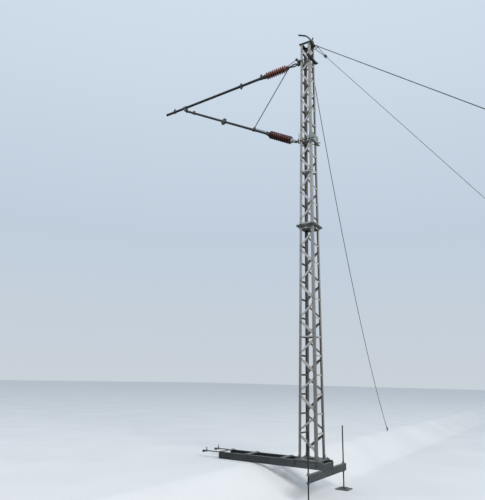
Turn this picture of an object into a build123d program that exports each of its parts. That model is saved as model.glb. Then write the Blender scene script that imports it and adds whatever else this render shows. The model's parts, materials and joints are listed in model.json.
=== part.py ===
from build123d import *
import math
import os

os.makedirs("parts", exist_ok=True)

# ---------------------------------------------------------------------------
# Emergency restoration tower for overhead line: tapered lattice mast in two
# sections on a ladder base frame, hinged cantilever, screw jacks and stays.
# Millimetres, +Z up. The origin is under the mast's axis, on the flat
# underside of the base frame. -X points to the track (cantilever side),
# +Y runs along the track.
# ---------------------------------------------------------------------------

# base frame
CH_H = 120.0            # height of the base channels
CH_W = 45.0             # flange width
CH_WEB = 6.0            # web thickness
CH_FL = 8.0             # flange thickness
LADDER_Y = 222.0        # outer face of each long channel
LADDER_X0 = -1800.0     # track end of the ladder
LADDER_X1 = 296.0       # field end of the ladder
CROSS_X = (-1755.0, -1210.0, -500.0)
CROSS_W = 80.0
CROSS_T = 8.0
END_TOP = 92.0          # top of the channel that closes the field end
FOOT_HALF = 235.0       # half width of the mast's foot plate
FOOT_T = 18.0

# mast
Z_FOOT = CH_H + FOOT_T            # top of the foot plate
HW0 = 175.0                       # half width of the mast at z = CH_H
HW1 = 105.4                       # half width 8400 mm higher
TAPER_LEN = 8400.0
LEG = 50.0                        # chord angle leg
LEG_T = 5.0
Z_JOINT = 4335.0                  # plane between the two sections
FLANGE_T = 18.0
FLANGE_HALF = 188.0
Z_TOP = 8387.0
NEAR_LOW = (235.0, 890.0, 1545.0, 2226.0, 2885.0, 3580.0, 4240.0)
LEFT_LOW = (570.0, 1235.0, 1885.0, 2545.0, 3225.0, 3900.0)
NEAR_UP = (4760.0, 5466.0, 6100.0, 6757.0, 7376.0, 7960.0)
LEFT_UP = (4440.0, 5076.0, 5758.0, 6429.0, 7076.0, 7704.0, 8271.0)
RUNGS_LOW = (557.0, 883.0, 1213.0, 1547.0, 1886.0, 2226.0, 2567.0, 2914.0, 3256.0, 3602.0, 3944.0)
RUNGS_UP = (4781.0, 5122.0, 5466.0, 5808.0, 6149.0, 6490.0, 6830.0, 7170.0, 7510.0, 7850.0, 8190.0)
PLAN_LOW = 2226.0                 # level of the horizontals and the plan cross
PLAN_UP = 5466.0
BAR_W = 30.0
BAR_T = 3.0
GAP = 0.25                        # play between pieces that lie on each other

# field beam and jacks
BEAM_X1 = 300.0
BEAM_W = 60.0
BEAM_H = 120.0
BEAM_Y0 = -770.0
BEAM_Y1 = 838.0
JACK_X = 262.0
JACK_YS = (-722.0, 790.0)          # near, far
SCREW_R = 12.0
NUT_BORE = 12.08
JACK_TOP = 655.0
JACK_FLOOR = -440.0
FOOT_PAD = 120.0

# cantilever
AXIS_X = -210.0
PIN_R = 12.0
EYE_BORE = 12.06
Z_UP = 8010.0
Z_LO = 6205.0
EYE_H = 34.0
EAR_T = 12.0
EAR_GAP = 44.0
TUBE_R = 29.0
TUBE_T = 4.0
INC_R = 26.0

# stays
STAY_A_END = Vector(9550.0, -2760.0, -190.0)
STAY_B_END = Vector(7140.0, 3760.0, -190.0)
STAY_D_END = Vector(-1060.0, 7980.0, 40.0)
ROPE_SAG = 720.0        # how far the rear rope hangs below the straight line


def hw(z):
    return HW0 - (HW0 - HW1) * (z - CH_H) / TAPER_LEN


K = (HW0 - HW1) / TAPER_LEN


def as_solids(shape):
    if isinstance(shape, (list, tuple)):
        res = []
        for s in shape:
            res += as_solids(s)
        return res
    return list(shape.solids())


def out(name, *shapes):
    solids = as_solids(list(shapes))
    if len(solids) == 1:
        export_step(solids[0], f"parts/{name}.step")
    else:
        export_step(Compound(solids), f"parts/{name}.step")


def box(x0, x1, y0, y1, z0, z1):
    return Pos((x0 + x1) / 2, (y0 + y1) / 2, (z0 + z1) / 2) * Box(
        abs(x1 - x0), abs(y1 - y0), abs(z1 - z0))


def frame_at(p0, p1):
    p0, p1 = Vector(*p0), Vector(*p1)
    d = p1 - p0
    z = d.normalized()
    ref = Vector(0, 1, 0) if abs(z.Y) < 0.9 else Vector(1, 0, 0)
    x = ref.cross(z).normalized()
    return Plane(origin=p0, x_dir=x, z_dir=z), d.length


def rod(p0, p1, r):
    pl, ln = frame_at(p0, p1)
    return Solid.make_cylinder(r, ln, pl)


def pipe(p0, p1, r, t):
    pl, ln = frame_at(p0, p1)
    return Solid.make_cylinder(r, ln, pl) - Solid.make_cylinder(r - t, ln, pl)


def turned(p0, p1, profile):
    """Solid of revolution about p0->p1; profile is a list of (radius, along)."""
    pl, ln = frame_at(p0, p1)
    pts = [(r, 0, a) for r, a in profile]
    face = make_face(Polyline(*pts, close=True))
    body = revolve(face, Axis.Z, 360)
    return pl.location * body


def prism(points, vec):
    face = make_face(Polyline(*[tuple(p) for p in points], close=True))
    return Solid.extrude(face.faces()[0], Vector(*vec))


def lerp(p0, p1, t):
    return Vector(*p0) + (Vector(*p1) - Vector(*p0)) * t


# ---------------------------------------------------------------------------
# base frame: two long channels, webs outside, flanges pointing inwards
# ---------------------------------------------------------------------------
def long_channel(side):
    y_out = side * LADDER_Y
    y_web = side * (LADDER_Y - CH_WEB)
    y_toe = side * (LADDER_Y - CH_W)
    web = box(LADDER_X0, LADDER_X1, min(y_out, y_web), max(y_out, y_web), 0, CH_H)
    low = box(LADDER_X0, LADDER_X1, min(y_out, y_toe), max(y_out, y_toe), 0, CH_FL)
    top = box(LADDER_X0, LADDER_X1, min(y_out, y_toe), max(y_out, y_toe), CH_H - CH_FL, CH_H)
    return web + low + top


out("base_channel_near", long_channel(-1))
out("base_channel_far", long_channel(1))

cross = []
for x in CROSS_X:
    cross.append(box(x - CROSS_W / 2, x + CROSS_W / 2, -LADDER_Y, LADDER_Y, CH_H, CH_H + CROSS_T))
out("base_cross_plates", cross)

# battens between the flange toes, flush with the underside
toe = LADDER_Y - CH_W
battens = [box(-70, 70, -toe + GAP, toe - GAP, 0, 12)]
for x in CROSS_X[:2]:
    battens.append(box(x - 30, x + 30, -toe + GAP, toe - GAP, 0, 12))
out("base_battens", battens)

# channel closing the field end, web outwards
yin = LADDER_Y - CH_WEB - GAP
end = box(LADDER_X1 - 6, LADDER_X1, -yin, yin, CH_FL + GAP, END_TOP)
end += box(LADDER_X1 - 40, LADDER_X1, -toe + GAP, toe - GAP, CH_FL + GAP, CH_FL + GAP + 8)
end += box(LADDER_X1 - 40, LADDER_X1, -toe + GAP, toe - GAP, END_TOP - 8, END_TOP)
out("base_end_channel", end)

plate = box(-FOOT_HALF, FOOT_HALF, -FOOT_HALF, FOOT_HALF, CH_H, Z_FOOT)
plate -= box(-105, 105, -105, 105, CH_H - 1, Z_FOOT + 1)
out("mast_foot_plate", plate)


# rail clamps: hook bar at each channel's end, claw, upright bolt and nut
bars = []
for side in (-1, 1):
    y = side * 200.0
    bar = box(-2190, LADDER_X0 + 6, y - 22, y + 22, 104, 118)
    bar += box(-2190, -2150, y - 22, y + 22, 82, 105)
    bar += box(LADDER_X0 - 8, LADDER_X0 - GAP, y - 22, y + 22, 20, 105)
    bar -= box(LADDER_X0 - GAP, LADDER_X0 + 10, y - 30, y + 30, 100, 121)
    bar += rod((-2105, y, 88), (-2105, y, 176), 10)
    bar += Pos(-2105, y, 126) * extrude(RegularPolygon(17, 6), 8, both=True)
    bars.append(bar)
out("rail_clamps", bars)


# ---------------------------------------------------------------------------
# field beam: channel, web outwards, under the ladder's end; jack screws pass
# through both flanges
# ---------------------------------------------------------------------------
bx0 = BEAM_X1 - BEAM_W
beam = box(BEAM_X1 - 6, BEAM_X1, BEAM_Y0, BEAM_Y1, -BEAM_H, 0)
beam += box(bx0, BEAM_X1, BEAM_Y0, BEAM_Y1, -8, 0)
beam += box(bx0, BEAM_X1, BEAM_Y0, BEAM_Y1, -BEAM_H, -BEAM_H + 8)
for y in JACK_YS:
    beam -= rod((JACK_X, y, -BEAM_H - 5), (JACK_X, y, 5), SCREW_R + 5.5)
out("field_beam", beam)

nuts = []
for y in JACK_YS:
    for z0, z1 in ((0, 22), (-BEAM_H - 22, -BEAM_H)):
        hexa = Pos(JACK_X, y, z0) * extrude(RegularPolygon(22, 6), 22)
        hexa -= rod((JACK_X, y, z0 - 1), (JACK_X, y, z1 + 1), NUT_BORE)
        nuts.append(hexa)
out("jack_nuts", nuts)

for y, name in zip(JACK_YS, ("near", "far")):
    screw = rod((JACK_X, y, JACK_FLOOR + 14), (JACK_X, y, JACK_TOP), SCREW_R)
    out(f"jack_screw_{name}", screw)
    foot = box(JACK_X - FOOT_PAD, JACK_X + FOOT_PAD, y - FOOT_PAD, y + FOOT_PAD, JACK_FLOOR, JACK_FLOOR + 14)
    ring = rod((JACK_X, y, JACK_FLOOR + 13), (JACK_X, y, JACK_FLOOR + 44), 24)
    ring -= rod((JACK_X, y, JACK_FLOOR + 14), (JACK_X, y, JACK_FLOOR + 46), SCREW_R)
    out(f"jack_foot_{name}", foot + ring)


# ---------------------------------------------------------------------------
# mast: chords of angle, battens and diagonals
# ---------------------------------------------------------------------------
def chord(sx, sy, z0, z1):
    h = hw(z0)
    pts = [(0, 0), (LEG, 0), (LEG, LEG_T), (LEG_T, LEG_T), (LEG_T, LEG), (0, LEG)]
    p3 = [(sx * (h - a), sy * (h - b), z0) for a, b in pts]
    dz = z1 - z0
    return prism(p3, (-sx * K * dz, -sy * K * dz, dz))


CORNERS = ((-1, -1), (1, -1), (1, 1), (-1, 1))
out("lower_chords", [chord(sx, sy, Z_FOOT, Z_JOINT - FLANGE_T) for sx, sy in CORNERS])
out("upper_chords", [chord(sx, sy, Z_JOINT + FLANGE_T, Z_TOP) for sx, sy in CORNERS])

NLEN = math.sqrt(1 + K * K)


def to_face(face, u, z, depth):
    """Point on a mast face; depth is measured inwards from the outer plane."""
    h = hw(z) - depth * NLEN
    if face == "-y":
        return (u, -h, z)
    if face == "+y":
        return (u, h, z)
    if face == "-x":
        return (-h, u, z)
    return (h, u, z)


def inward(face, t):
    c, s = t / NLEN, t * K / NLEN
    if face == "-y":
        return (0, c, -s)
    if face == "+y":
        return (0, -c, -s)
    if face == "-x":
        return (c, 0, -s)
    return (-c, 0, -s)


def strip(face, u0, z0, u1, z1, lo, hi, depth, t):
    """Flat strip between (u0,z0) and (u1,z1); lo and hi are its edges' offsets."""
    du, dz = u1 - u0, z1 - z0
    ln = math.hypot(du, dz)
    nu, nz = -dz / ln, du / ln
    if nz < 0:
        nu, nz = -nu, -nz
    pts = [(u0 + nu * lo, z0 + nz * lo), (u1 + nu * lo, z1 + nz * lo),
           (u1 + nu * hi, z1 + nz * hi), (u0 + nu * hi, z0 + nz * hi)]
    p3 = [to_face(face, u, z, depth) for u, z in pts]
    return prism(p3, inward(face, t))


def angle_bar(face, ua, za, ub, zb, width, outstand, up):
    """Bar of angle lying behind the chord legs; the standing leg is coped."""
    d = LEG_T + GAP
    ln = math.hypot(ub - ua, zb - za)
    e = 11.0
    tu, tz = (ub - ua) / ln, (zb - za) / ln
    flat = strip(face, ua - tu * e, za - tz * e, ub + tu * e, zb + tz * e, -width / 2, width / 2, d, BAR_T)
    # standing leg between the chord legs' inner edges
    c = (LEG / 2 + 12.0) / max(abs(tu), 0.2)
    lo, hi = (width / 2 - BAR_T, width / 2) if up else (-width / 2, -width / 2 + BAR_T)
    stand = strip(face, ua + tu * c, za + tz * c, ub - tu * c, zb - tz * c, lo, hi, d, outstand)
    return flat + stand


def zigzag(face, near, left, mirror):
    """Diagonals between the chord on the +u side and the chord on the -u side."""
    bars = []
    g = 50.0
    m = -1 if mirror else 1
    pts = [("n", z) for z in near] + [("l", z) for z in left]
    pts.sort(key=lambda p: p[1])
    for (a, za), (b, zb) in zip(pts, pts[1:]):
        if a == b:
            continue
        z0, z1 = za + g, zb - g
        u0 = (hw(z0) - LEG / 2 - 3) * (m if a == "n" else -m)
        u1 = (hw(z1) - LEG / 2 - 3) * (m if b == "n" else -m)
        bars.append(angle_bar(face, u0, z0, u1, z1, BAR_W + (12 if a == "n" else 0), 26.0, a == "n"))
    return bars


def rung(face, z, width=BAR_W):
    u = hw(z) - LEG / 2 - 6
    return angle_bar(face, -u, z, u, z, width, 24.0, True)


out("lower_bracing_near", zigzag("-y", NEAR_LOW, LEFT_LOW, False), rung("-y", PLAN_LOW, 24.0))
out("lower_bracing_far", zigzag("+y", NEAR_LOW, LEFT_LOW, True), rung("+y", PLAN_LOW, 24.0))
out("lower_rungs_field", [rung("+x", z) for z in RUNGS_LOW])
out("lower_rungs_track", [rung("-x", z) for z in RUNGS_LOW])
out("upper_bracing_near", zigzag("-y", NEAR_UP, LEFT_UP, False), rung("-y", PLAN_UP, 24.0))
out("upper_bracing_far", zigzag("+y", NEAR_UP, LEFT_UP, True), rung("+y", PLAN_UP, 24.0))
out("upper_rungs_field", [rung("+x", z) for z in RUNGS_UP])
out("upper_rungs_track", [rung("-x", z) for z in RUNGS_UP])

# plan crosses inside the mast
plans = []
for z in (PLAN_LOW, PLAN_UP):
    half = (hw(z) - 20.0) * math.sqrt(2)
    cross_bar = Box(2 * half, BAR_W, 4)
    plans.append(Pos(0, 0, z) * (Rot(0, 0, 45) * cross_bar + Rot(0, 0, -45) * cross_bar))
out("plan_crosses", plans)


# section joint: two square flange rings with short upright legs on the outside
def flange_ring(z0, z1, up):
    zm = (z0 + z1) / 2
    ring = box(-FLANGE_HALF, FLANGE_HALF, -FLANGE_HALF, FLANGE_HALF, z0, z1)
    hole = hw(zm) - LEG - 8
    ring -= box(-hole, hole, -hole, hole, z0 - 1, z1 + 1)
    zl0, zl1 = (z1, z1 + 45) if up else (z0 - 45, z0)
    h = max(hw(zl0), hw(zl1)) + GAP
    leg = box(-h - 6, h + 6, -h - 6, h + 6, zl0, zl1) - box(-h, h, -h, h, zl0 - 1, zl1 + 1)
    return ring + leg


out("lower_flange", flange_ring(Z_JOINT - FLANGE_T, Z_JOINT, False))
out("upper_flange", flange_ring(Z_JOINT, Z_JOINT + FLANGE_T, True))

# head: square plate ring with a skirt round the chords, deeper on the two
# sides that carry the stay lugs
SKIRT = hw(8340) + GAP
head = box(-142, 120, -120, 120, Z_TOP, Z_TOP + 8) - box(-62, 62, -62, 62, Z_TOP - 1, Z_TOP + 9)
head += box(-SKIRT - 6, SKIRT + 6, -SKIRT - 6, SKIRT + 6, 8364, Z_TOP) - box(-SKIRT, SKIRT, -SKIRT, SKIRT, 8363, Z_TOP + 1)
head += box(SKIRT, SKIRT + 6, -SKIRT - 6, SKIRT + 6, 8316, 8365)
head += box(-SKIRT - 6, SKIRT + 6, SKIRT, SKIRT + 6, 8316, 8365)

LUG_Z = 8338.0
LUG_A = Vector(148, -38, LUG_Z)
LUG_B = Vector(148, 38, LUG_Z)
LUG_D = Vector(-30, 148, LUG_Z)
for p in (LUG_A, LUG_B):
    lug = box(SKIRT + 3, p.X, p.Y - 5, p.Y + 5, p.Z - 22, p.Z + 22)
    lug += rod((p.X, p.Y - 5, p.Z), (p.X, p.Y + 5, p.Z), 22)
    head += lug - rod((p.X, p.Y - 8, p.Z), (p.X, p.Y + 8, p.Z), 12)
lug = box(LUG_D.X - 5, LUG_D.X + 5, SKIRT + 3, LUG_D.Y, LUG_D.Z - 22, LUG_D.Z + 22)
lug += rod((LUG_D.X - 5, LUG_D.Y, LUG_D.Z), (LUG_D.X + 5, LUG_D.Y, LUG_D.Z), 22)
head += lug - rod((LUG_D.X - 8, LUG_D.Y, LUG_D.Z), (LUG_D.X + 8, LUG_D.Y, LUG_D.Z), 12)
out("head_frame", head)

# bent horn on the head, leaning over to the track side
horn_pts = [(90, 0, Z_TOP + 8), (90, 0, 8470), (55, 0, 8535), (12, 0, 8592), (-48, 0, 8645), (-200, 0, 8718)]
horn = box(55, 116, -22, 22, Z_TOP + 8, Z_TOP + 16)
for a, b in zip(horn_pts, horn_pts[1:]):
    horn += rod(a, b, 15)
for p in horn_pts[1:-1]:
    horn += Pos(*p) * Sphere(15)
horn += rod((-62, 0, 8651.7), (-200, 0, 8718), 17.5)
# short finger on the horn's field side
horn += rod((90, 0, 8452), (138, 0, 8524), 14)
out("head_horn", horn)


# ---------------------------------------------------------------------------
# cantilever brackets: clamp bars on the track and field faces, tie rods along
# both sides, two ears with an upright pin
# ---------------------------------------------------------------------------
def bracket_front(z, hb, bar, block, rods):
    """Clamp bar on the track face, a block on it and two ears round the level z."""
    deep, over, zb0, zb1 = bar
    bar = box(-hb - deep, -hb, -hb - over, hb + over, zb0, zb1)
    bar += box(-hb - 34, -hb, -45, 45, block[0], block[1])
    for y, zr in rods:
        bar -= rod((-hb - 40, y, zr), (-hb + 5, y, zr), TIE_R + 0.5)
    for s in (-1, 1):
        z0, z1 = (z + EAR_GAP / 2, z + EAR_GAP / 2 + EAR_T)
        if s < 0:
            z0, z1 = (z - EAR_GAP / 2 - EAR_T, z - EAR_GAP / 2)
        ear = box(AXIS_X, -hb - 30, -26, 26, z0, z1) + rod((AXIS_X, 0, z0), (AXIS_X, 0, z1), 26)
        ear -= rod((AXIS_X, 0, z0 - 1), (AXIS_X, 0, z1 + 1), PIN_R + 0.05)
        bar += ear
    return bar


TIE_R = 9.0
UP_H = hw(7931.0) + GAP
LO_H = hw(6081.0) + GAP
# front bars: depth, reach past the chords, lowest and highest
UP_BAR = (34.0, 40.0, 7950.0, 7996.0)
LO_BAR = (8.0, 46.0, 6086.0, 6286.0)
UP_RODS = ((-UP_H - 20, 7970.0), (UP_H + 20, 7979.0))
LO_RODS = ((-LO_H - 20, 6136.0), (LO_H + 20, 6136.0))

# upper: square bar on the field face, a little out of level, long on one side
UP_Y0, UP_Y1, UP_DEEP, UP_TALL = -292.0, 148.0, 50.0, 38.0
back = prism([(UP_H, UP_Y0, 7936), (UP_H, UP_Y1, 7963), (UP_H, UP_Y1, 7963 + UP_TALL), (UP_H, UP_Y0, 7936 + UP_TALL)],
             (UP_DEEP, 0, 0))
for y, zr in UP_RODS:
    back -= rod((UP_H - 5, y, zr), (UP_H + UP_DEEP + 5, y, zr), TIE_R + 0.5)
out("upper_bracket", bracket_front(Z_UP, UP_H, UP_BAR, (7950.0, 8050.0), UP_RODS), back)

# lower: tall plate with a turned foot on the field face
back = box(LO_H, LO_H + 8, -LO_H - 62, LO_H + 62, 6080 + 6, 6290)
back += box(LO_H, LO_H + 46, -LO_H - 62, LO_H + 62, 6080 + 6, 6080 + 15)
for y, zr in LO_RODS:
    back -= rod((LO_H - 5, y, zr), (LO_H + 20, y, zr), TIE_R + 0.5)
out("lower_bracket", bracket_front(Z_LO, LO_H, LO_BAR, (6155.0, 6255.0), LO_RODS), back)

ties = []
for rods, hb, front, deep, tail in ((UP_RODS, UP_H, 34.0, UP_DEEP, 30.0), (LO_RODS, LO_H, 8.0, 8.0, 64.0)):
    for y, z in rods:
        tie = rod((-hb - front - 28, y, z), (hb + deep + tail, y, z), TIE_R)
        for x0, x1 in ((-hb - front - GAP - 13, -hb - front - GAP), (hb + deep + GAP, hb + deep + GAP + 13)):
            pl, ln = frame_at((x0, y, z), (x1, y, z))
            tie += pl.location * extrude(RegularPolygon(15.5, 6), 13)
        ties.append(tie)
out("bracket_tie_rods", ties)

# upright pins: the upper one is longer, for the link rod's ring
pins = []
up_top = Z_UP + EAR_GAP / 2 + EAR_T
pin = rod((AXIS_X, 0, Z_UP - EAR_GAP / 2 - EAR_T - 14), (AXIS_X, 0, up_top + 40), PIN_R)
pin += rod((AXIS_X, 0, Z_UP - EAR_GAP / 2 - EAR_T - 14), (AXIS_X, 0, Z_UP - EAR_GAP / 2 - EAR_T - GAP), 20)
pin += rod((AXIS_X, 0, up_top + 34.3), (AXIS_X, 0, up_top + 39), 15.5)
pins.append(pin)
lo_top = Z_LO + EAR_GAP / 2 + EAR_T
pin = rod((AXIS_X, 0, Z_LO - EAR_GAP / 2 - EAR_T - 14), (AXIS_X, 0, lo_top + 14), PIN_R)
pin += rod((AXIS_X, 0, Z_LO - EAR_GAP / 2 - EAR_T - 14), (AXIS_X, 0, Z_LO - EAR_GAP / 2 - EAR_T - GAP), 20)
pin += rod((AXIS_X, 0, lo_top + GAP), (AXIS_X, 0, lo_top + 14), 20)
pins.append(pin)
out("pivot_pins", pins)


# ---------------------------------------------------------------------------
# cantilever, in the plane y = 0 at rest
# ---------------------------------------------------------------------------
KNUCKLE = 62.0
T0 = Vector(AXIS_X - KNUCKLE, 0, Z_UP)
T1 = Vector(-3838, 0, 7800)
C0 = Vector(AXIS_X - KNUCKLE, 0, Z_LO)
C1 = Vector(-3225, 0, 7742)
TD = (T1 - T0).normalized()
CD = (C1 - C0).normalized()


def at_t(s):
    return T0 + TD * s


def at_c(s):
    return C0 + CD * s


def eye(z, r=28.0, ball=True):
    e = rod((AXIS_X, 0, z - EYE_H / 2), (AXIS_X, 0, z + EYE_H / 2), r)
    e += box(AXIS_X - (KNUCKLE if ball else 45), AXIS_X, -13, 13, z - 12, z + 12)
    if ball:
        e += Pos(AXIS_X - KNUCKLE, 0, z) * Sphere(28)
    e -= rod((AXIS_X, 0, z - EYE_H), (AXIS_X, 0, z + EYE_H), EYE_BORE)
    return e


def insulator(p0, p1, core, shed, n):
    ln = (Vector(*p1) - Vector(*p0)).length
    pitch = ln / n
    prof = [(0, 0), (core, 0)]
    for i in range(n):
        a = i * pitch
        prof += [(core, a + pitch * 0.22), (shed, a + pitch * 0.40), (shed, a + pitch * 0.52), (core, a + pitch * 0.80)]
    prof += [(core, ln), (0, ln)]
    return turned(p0, p1, prof)


TI0, TI1 = 225.0, 727.0           # top insulator along the top member
CI0, CI1 = 127.0, 697.0           # lower insulator along the inclined member
SOCK = 62.0
out("top_insulator", insulator(at_t(TI0), at_t(TI1), 44, 80, 10))
out("inclined_insulator", insulator(at_c(CI0), at_c(CI1), 46, 84, 10))

# end fittings: swivel eye, shank and cap at the mast end, socket at the tube end
link_pl = Plane(origin=at_t(0), x_dir=TD, z_dir=Vector(0, 1, 0))
oval = Box(64, 68, 24) + Pos(-32, 0, 0) * Cylinder(34, 24) + Pos(32, 0, 0) * Cylinder(34, 24)
oval -= Box(56, 32, 30) + Pos(-28, 0, 0) * Cylinder(16, 30) + Pos(28, 0, 0) * Cylinder(16, 30)
top_in = eye(Z_UP, ball=False) + link_pl.location * (Pos(34, 0, 0) * oval)
top_in += rod(at_t(93), at_t(TI0 - 46), 23) + rod(at_t(TI0 - 50), at_t(TI0 - GAP), 36)
inc_in = eye(Z_LO) + rod(at_c(0), at_c(CI0 - 40), 28) + rod(at_c(CI0 - 44), at_c(CI0 - GAP), 38)
out("swivel_eyes", top_in, inc_in)


def socket(p0, p1, r, bore, depth):
    pl, ln = frame_at(p0, p1)
    s = Solid.make_cylinder(r, ln, pl)
    inner = Vector(*p1) - (Vector(*p1) - Vector(*p0)).normalized() * depth
    return s - rod(inner, Vector(*p1) + (Vector(*p1) - Vector(*p0)).normalized(), bore)


out("tube_sockets",
    socket(at_t(TI1 + GAP), at_t(TI1 + 95), 37, TUBE_R + 0.1, 70),
    socket(at_c(CI1 + GAP), at_c(CI1 + 90), 36, INC_R + 0.1, 66))

TT0 = TI1 + 26.0
TL = (T1 - T0).length
CL = (C1 - C0).length
CC0 = CI1 + 25.0
out("top_tube", pipe(at_t(TT0), at_t(TL - 14), TUBE_R, TUBE_T))
out("inclined_tube", pipe(at_c(CC0), at_c(CL - 32), INC_R, TUBE_T))
out("tube_end_cap", rod(at_t(TL - 14 + GAP), at_t(TL), TUBE_R + 3))


def s_of(x, p0, d):
    return (x - p0.X) / d.X


def band(p, d, r_in, r_out, length):
    a = p - d * (length / 2)
    b = p + d * (length / 2)
    return rod(a, b, r_out) - rod(a - d, b + d, r_in)


def clamp(p, d, r_in, r_out, length, up, post, bolt):
    """Tube clamp with a lug standing off along 'up' and a cross bolt."""
    n = Vector(0, 1, 0)
    c = band(p, d, r_in, r_out, length)
    pl = Plane(origin=p + up * (r_out - 4), x_dir=n, z_dir=up)
    lug_ = pl.location * (Pos(0, 0, post / 2) * Box(26, length * 0.7, post))
    c += lug_ - rod(p - d * (length), p + d * (length), r_in)
    q = p + up * (r_out + post * 0.45)
    c += rod(q - n * bolt, q + n * bolt, 8)
    return c


TU = Vector(-TD.Z, 0, TD.X)
if TU.Z < 0:
    TU = TU * -1
CU = Vector(-CD.Z, 0, CD.X)
if CU.Z < 0:
    CU = CU * -1

tc = []
p = at_t(s_of(-3587, T0, TD))
tc.append(clamp(p, TD, TUBE_R + 0.1, 36, 56, TU, 30, 26) + rod(p + TU * 50, p + TU * 92, 11))
p = at_t(s_of(-1652, T0, TD))
tc.append(clamp(p, TD, TUBE_R + 0.1, 37, 60, TU, 26, 30) + (clamp(p, TD, TUBE_R + 0.1, 37, 60, TU * -1, 40, 26)))
p = at_t(s_of(-1125, T0, TD))
tc.append(clamp(p, TD, TUBE_R + 0.1, 37, 56, TU, 46, 30) + rod(p + TU * 70, p + TU * 96, 17))
out("top_tube_clamps", tc)

ic = []
p = at_c(s_of(-2993, C0, CD))
ic.append(clamp(p, CD, INC_R + 0.1, 33, 60, CU, 22, 28))
p = at_c(s_of(-2102, C0, CD))
ic.append(clamp(p, CD, INC_R + 0.1, 38, 110, CU, 40, 34) + clamp(p, CD, INC_R + 0.1, 38, 110, CU * -1, 44, 34))
p_stay = at_c(s_of(-1300, C0, CD))
ic.append(clamp(p_stay, CD, INC_R + 0.1, 33, 56, CU, 36, 20))
out("inclined_tube_clamps", ic)

# knuckle: sleeve on the top tube, cheek plates down to the inclined tube's end
kp = at_t(s_of(-3262, T0, TD))
kn = band(kp, TD, TUBE_R + 0.1, 40, 90)
for s in (-1, 1):
    pts = [(kp.X - 34, s * 30, kp.Z - 10), (kp.X + 34, s * 30, kp.Z - 10),
           (C1.X + 40, s * 30, C1.Z - 24), (C1.X - 24, s * 30, C1.Z - 30)]
    cheek = prism(pts, (0, s * 7, 0))
    kn += cheek - rod(kp - TD * 120, kp + TD * 120, TUBE_R + 0.1)
kn += rod((C1.X, -46, C1.Z), (C1.X, 46, C1.Z), 10)
out("tube_knuckle", kn)
tongue = rod(at_c(CL - 32 + GAP), at_c(CL - 2), INC_R) + rod((C1.X, -26, C1.Z), (C1.X, 26, C1.Z), 24)
tongue -= rod((C1.X, -30, C1.Z), (C1.X, 30, C1.Z), 10.1)
out("inclined_end_eye", tongue)

# stay rod between the insulator's mast end and the stay clamp, with flat eyes
s0 = at_t(TI0 - 30) + TU * -48.5
s1 = p_stay + CU * 78
out("stay_rod", rod(s0, s1, 11) + Pos(*s0) * Sphere(12) + Pos(*s1) * Sphere(12))
l0 = Vector(AXIS_X - 43, 0, up_top + 86)
l1 = at_t(TI0 - 30) + TU * 45
link = rod((AXIS_X, 0, up_top + 14), (AXIS_X, 0, up_top + 34), 24)
link -= rod((AXIS_X, 0, up_top + 10), (AXIS_X, 0, up_top + 38), EYE_BORE)
link += rod((AXIS_X - 27, 0, up_top + 24), l0, 8) + rod((AXIS_X - 18, 0, up_top + 24), (AXIS_X - 27, 0, up_top + 24), 9)
link += Pos(*l0) * Sphere(26)
link += rod(l0, l1, 7) + Pos(*l1) * Sphere(9) - rod((AXIS_X, 0, up_top + 10), (AXIS_X, 0, up_top + 38), EYE_BORE)
out("link_rod", link)
g0 = p_stay + CU * 38 + CD * -32
g1 = at_c(CI1 + 50) + CU * 44
out("guard_rod", rod(g0, g1, 5) + Pos(*g1) * Sphere(8))


# ---------------------------------------------------------------------------
# stays: shackle ring at the lug, ferrule, wire, turnbuckle, ring at the anchor
# ---------------------------------------------------------------------------
def ring_at(hole, axis, d):
    dd = (d - axis * d.dot(axis)).normalized()
    c = hole + dd * 18
    n = dd.cross(axis).normalized()
    return Solid.make_torus(18, 5, Plane(origin=c, x_dir=dd, z_dir=n)), hole + dd * 36


def sagging(p0, p1, d0, d1, r, n):
    """Line on a parabola that leaves p0 along d0 and reaches p1 along d1."""
    h = Vector(p1.X - p0.X, p1.Y - p0.Y, 0).normalized()
    s1 = (p1 - p0).dot(h)
    m0, m1 = d0.Z / d0.dot(h), d1.Z / d1.dot(h)
    t = (p1.Z - p0.Z - m1 * s1) / (m0 - m1)
    mid = p0 + h * t + Vector(0, 0, m0 * t)
    pts = []
    for i in range(n + 1):
        u = i / n
        pts.append(p0 * ((1 - u) ** 2) + mid * (2 * u * (1 - u)) + p1 * (u * u))
    line = rod(pts[0], pts[1], r)
    for a, b in zip(pts[1:], pts[2:]):
        line += rod(a, b, r)
    for p in pts[1:-1]:
        line += Pos(*p) * Sphere(r)
    return line, mid


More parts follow.
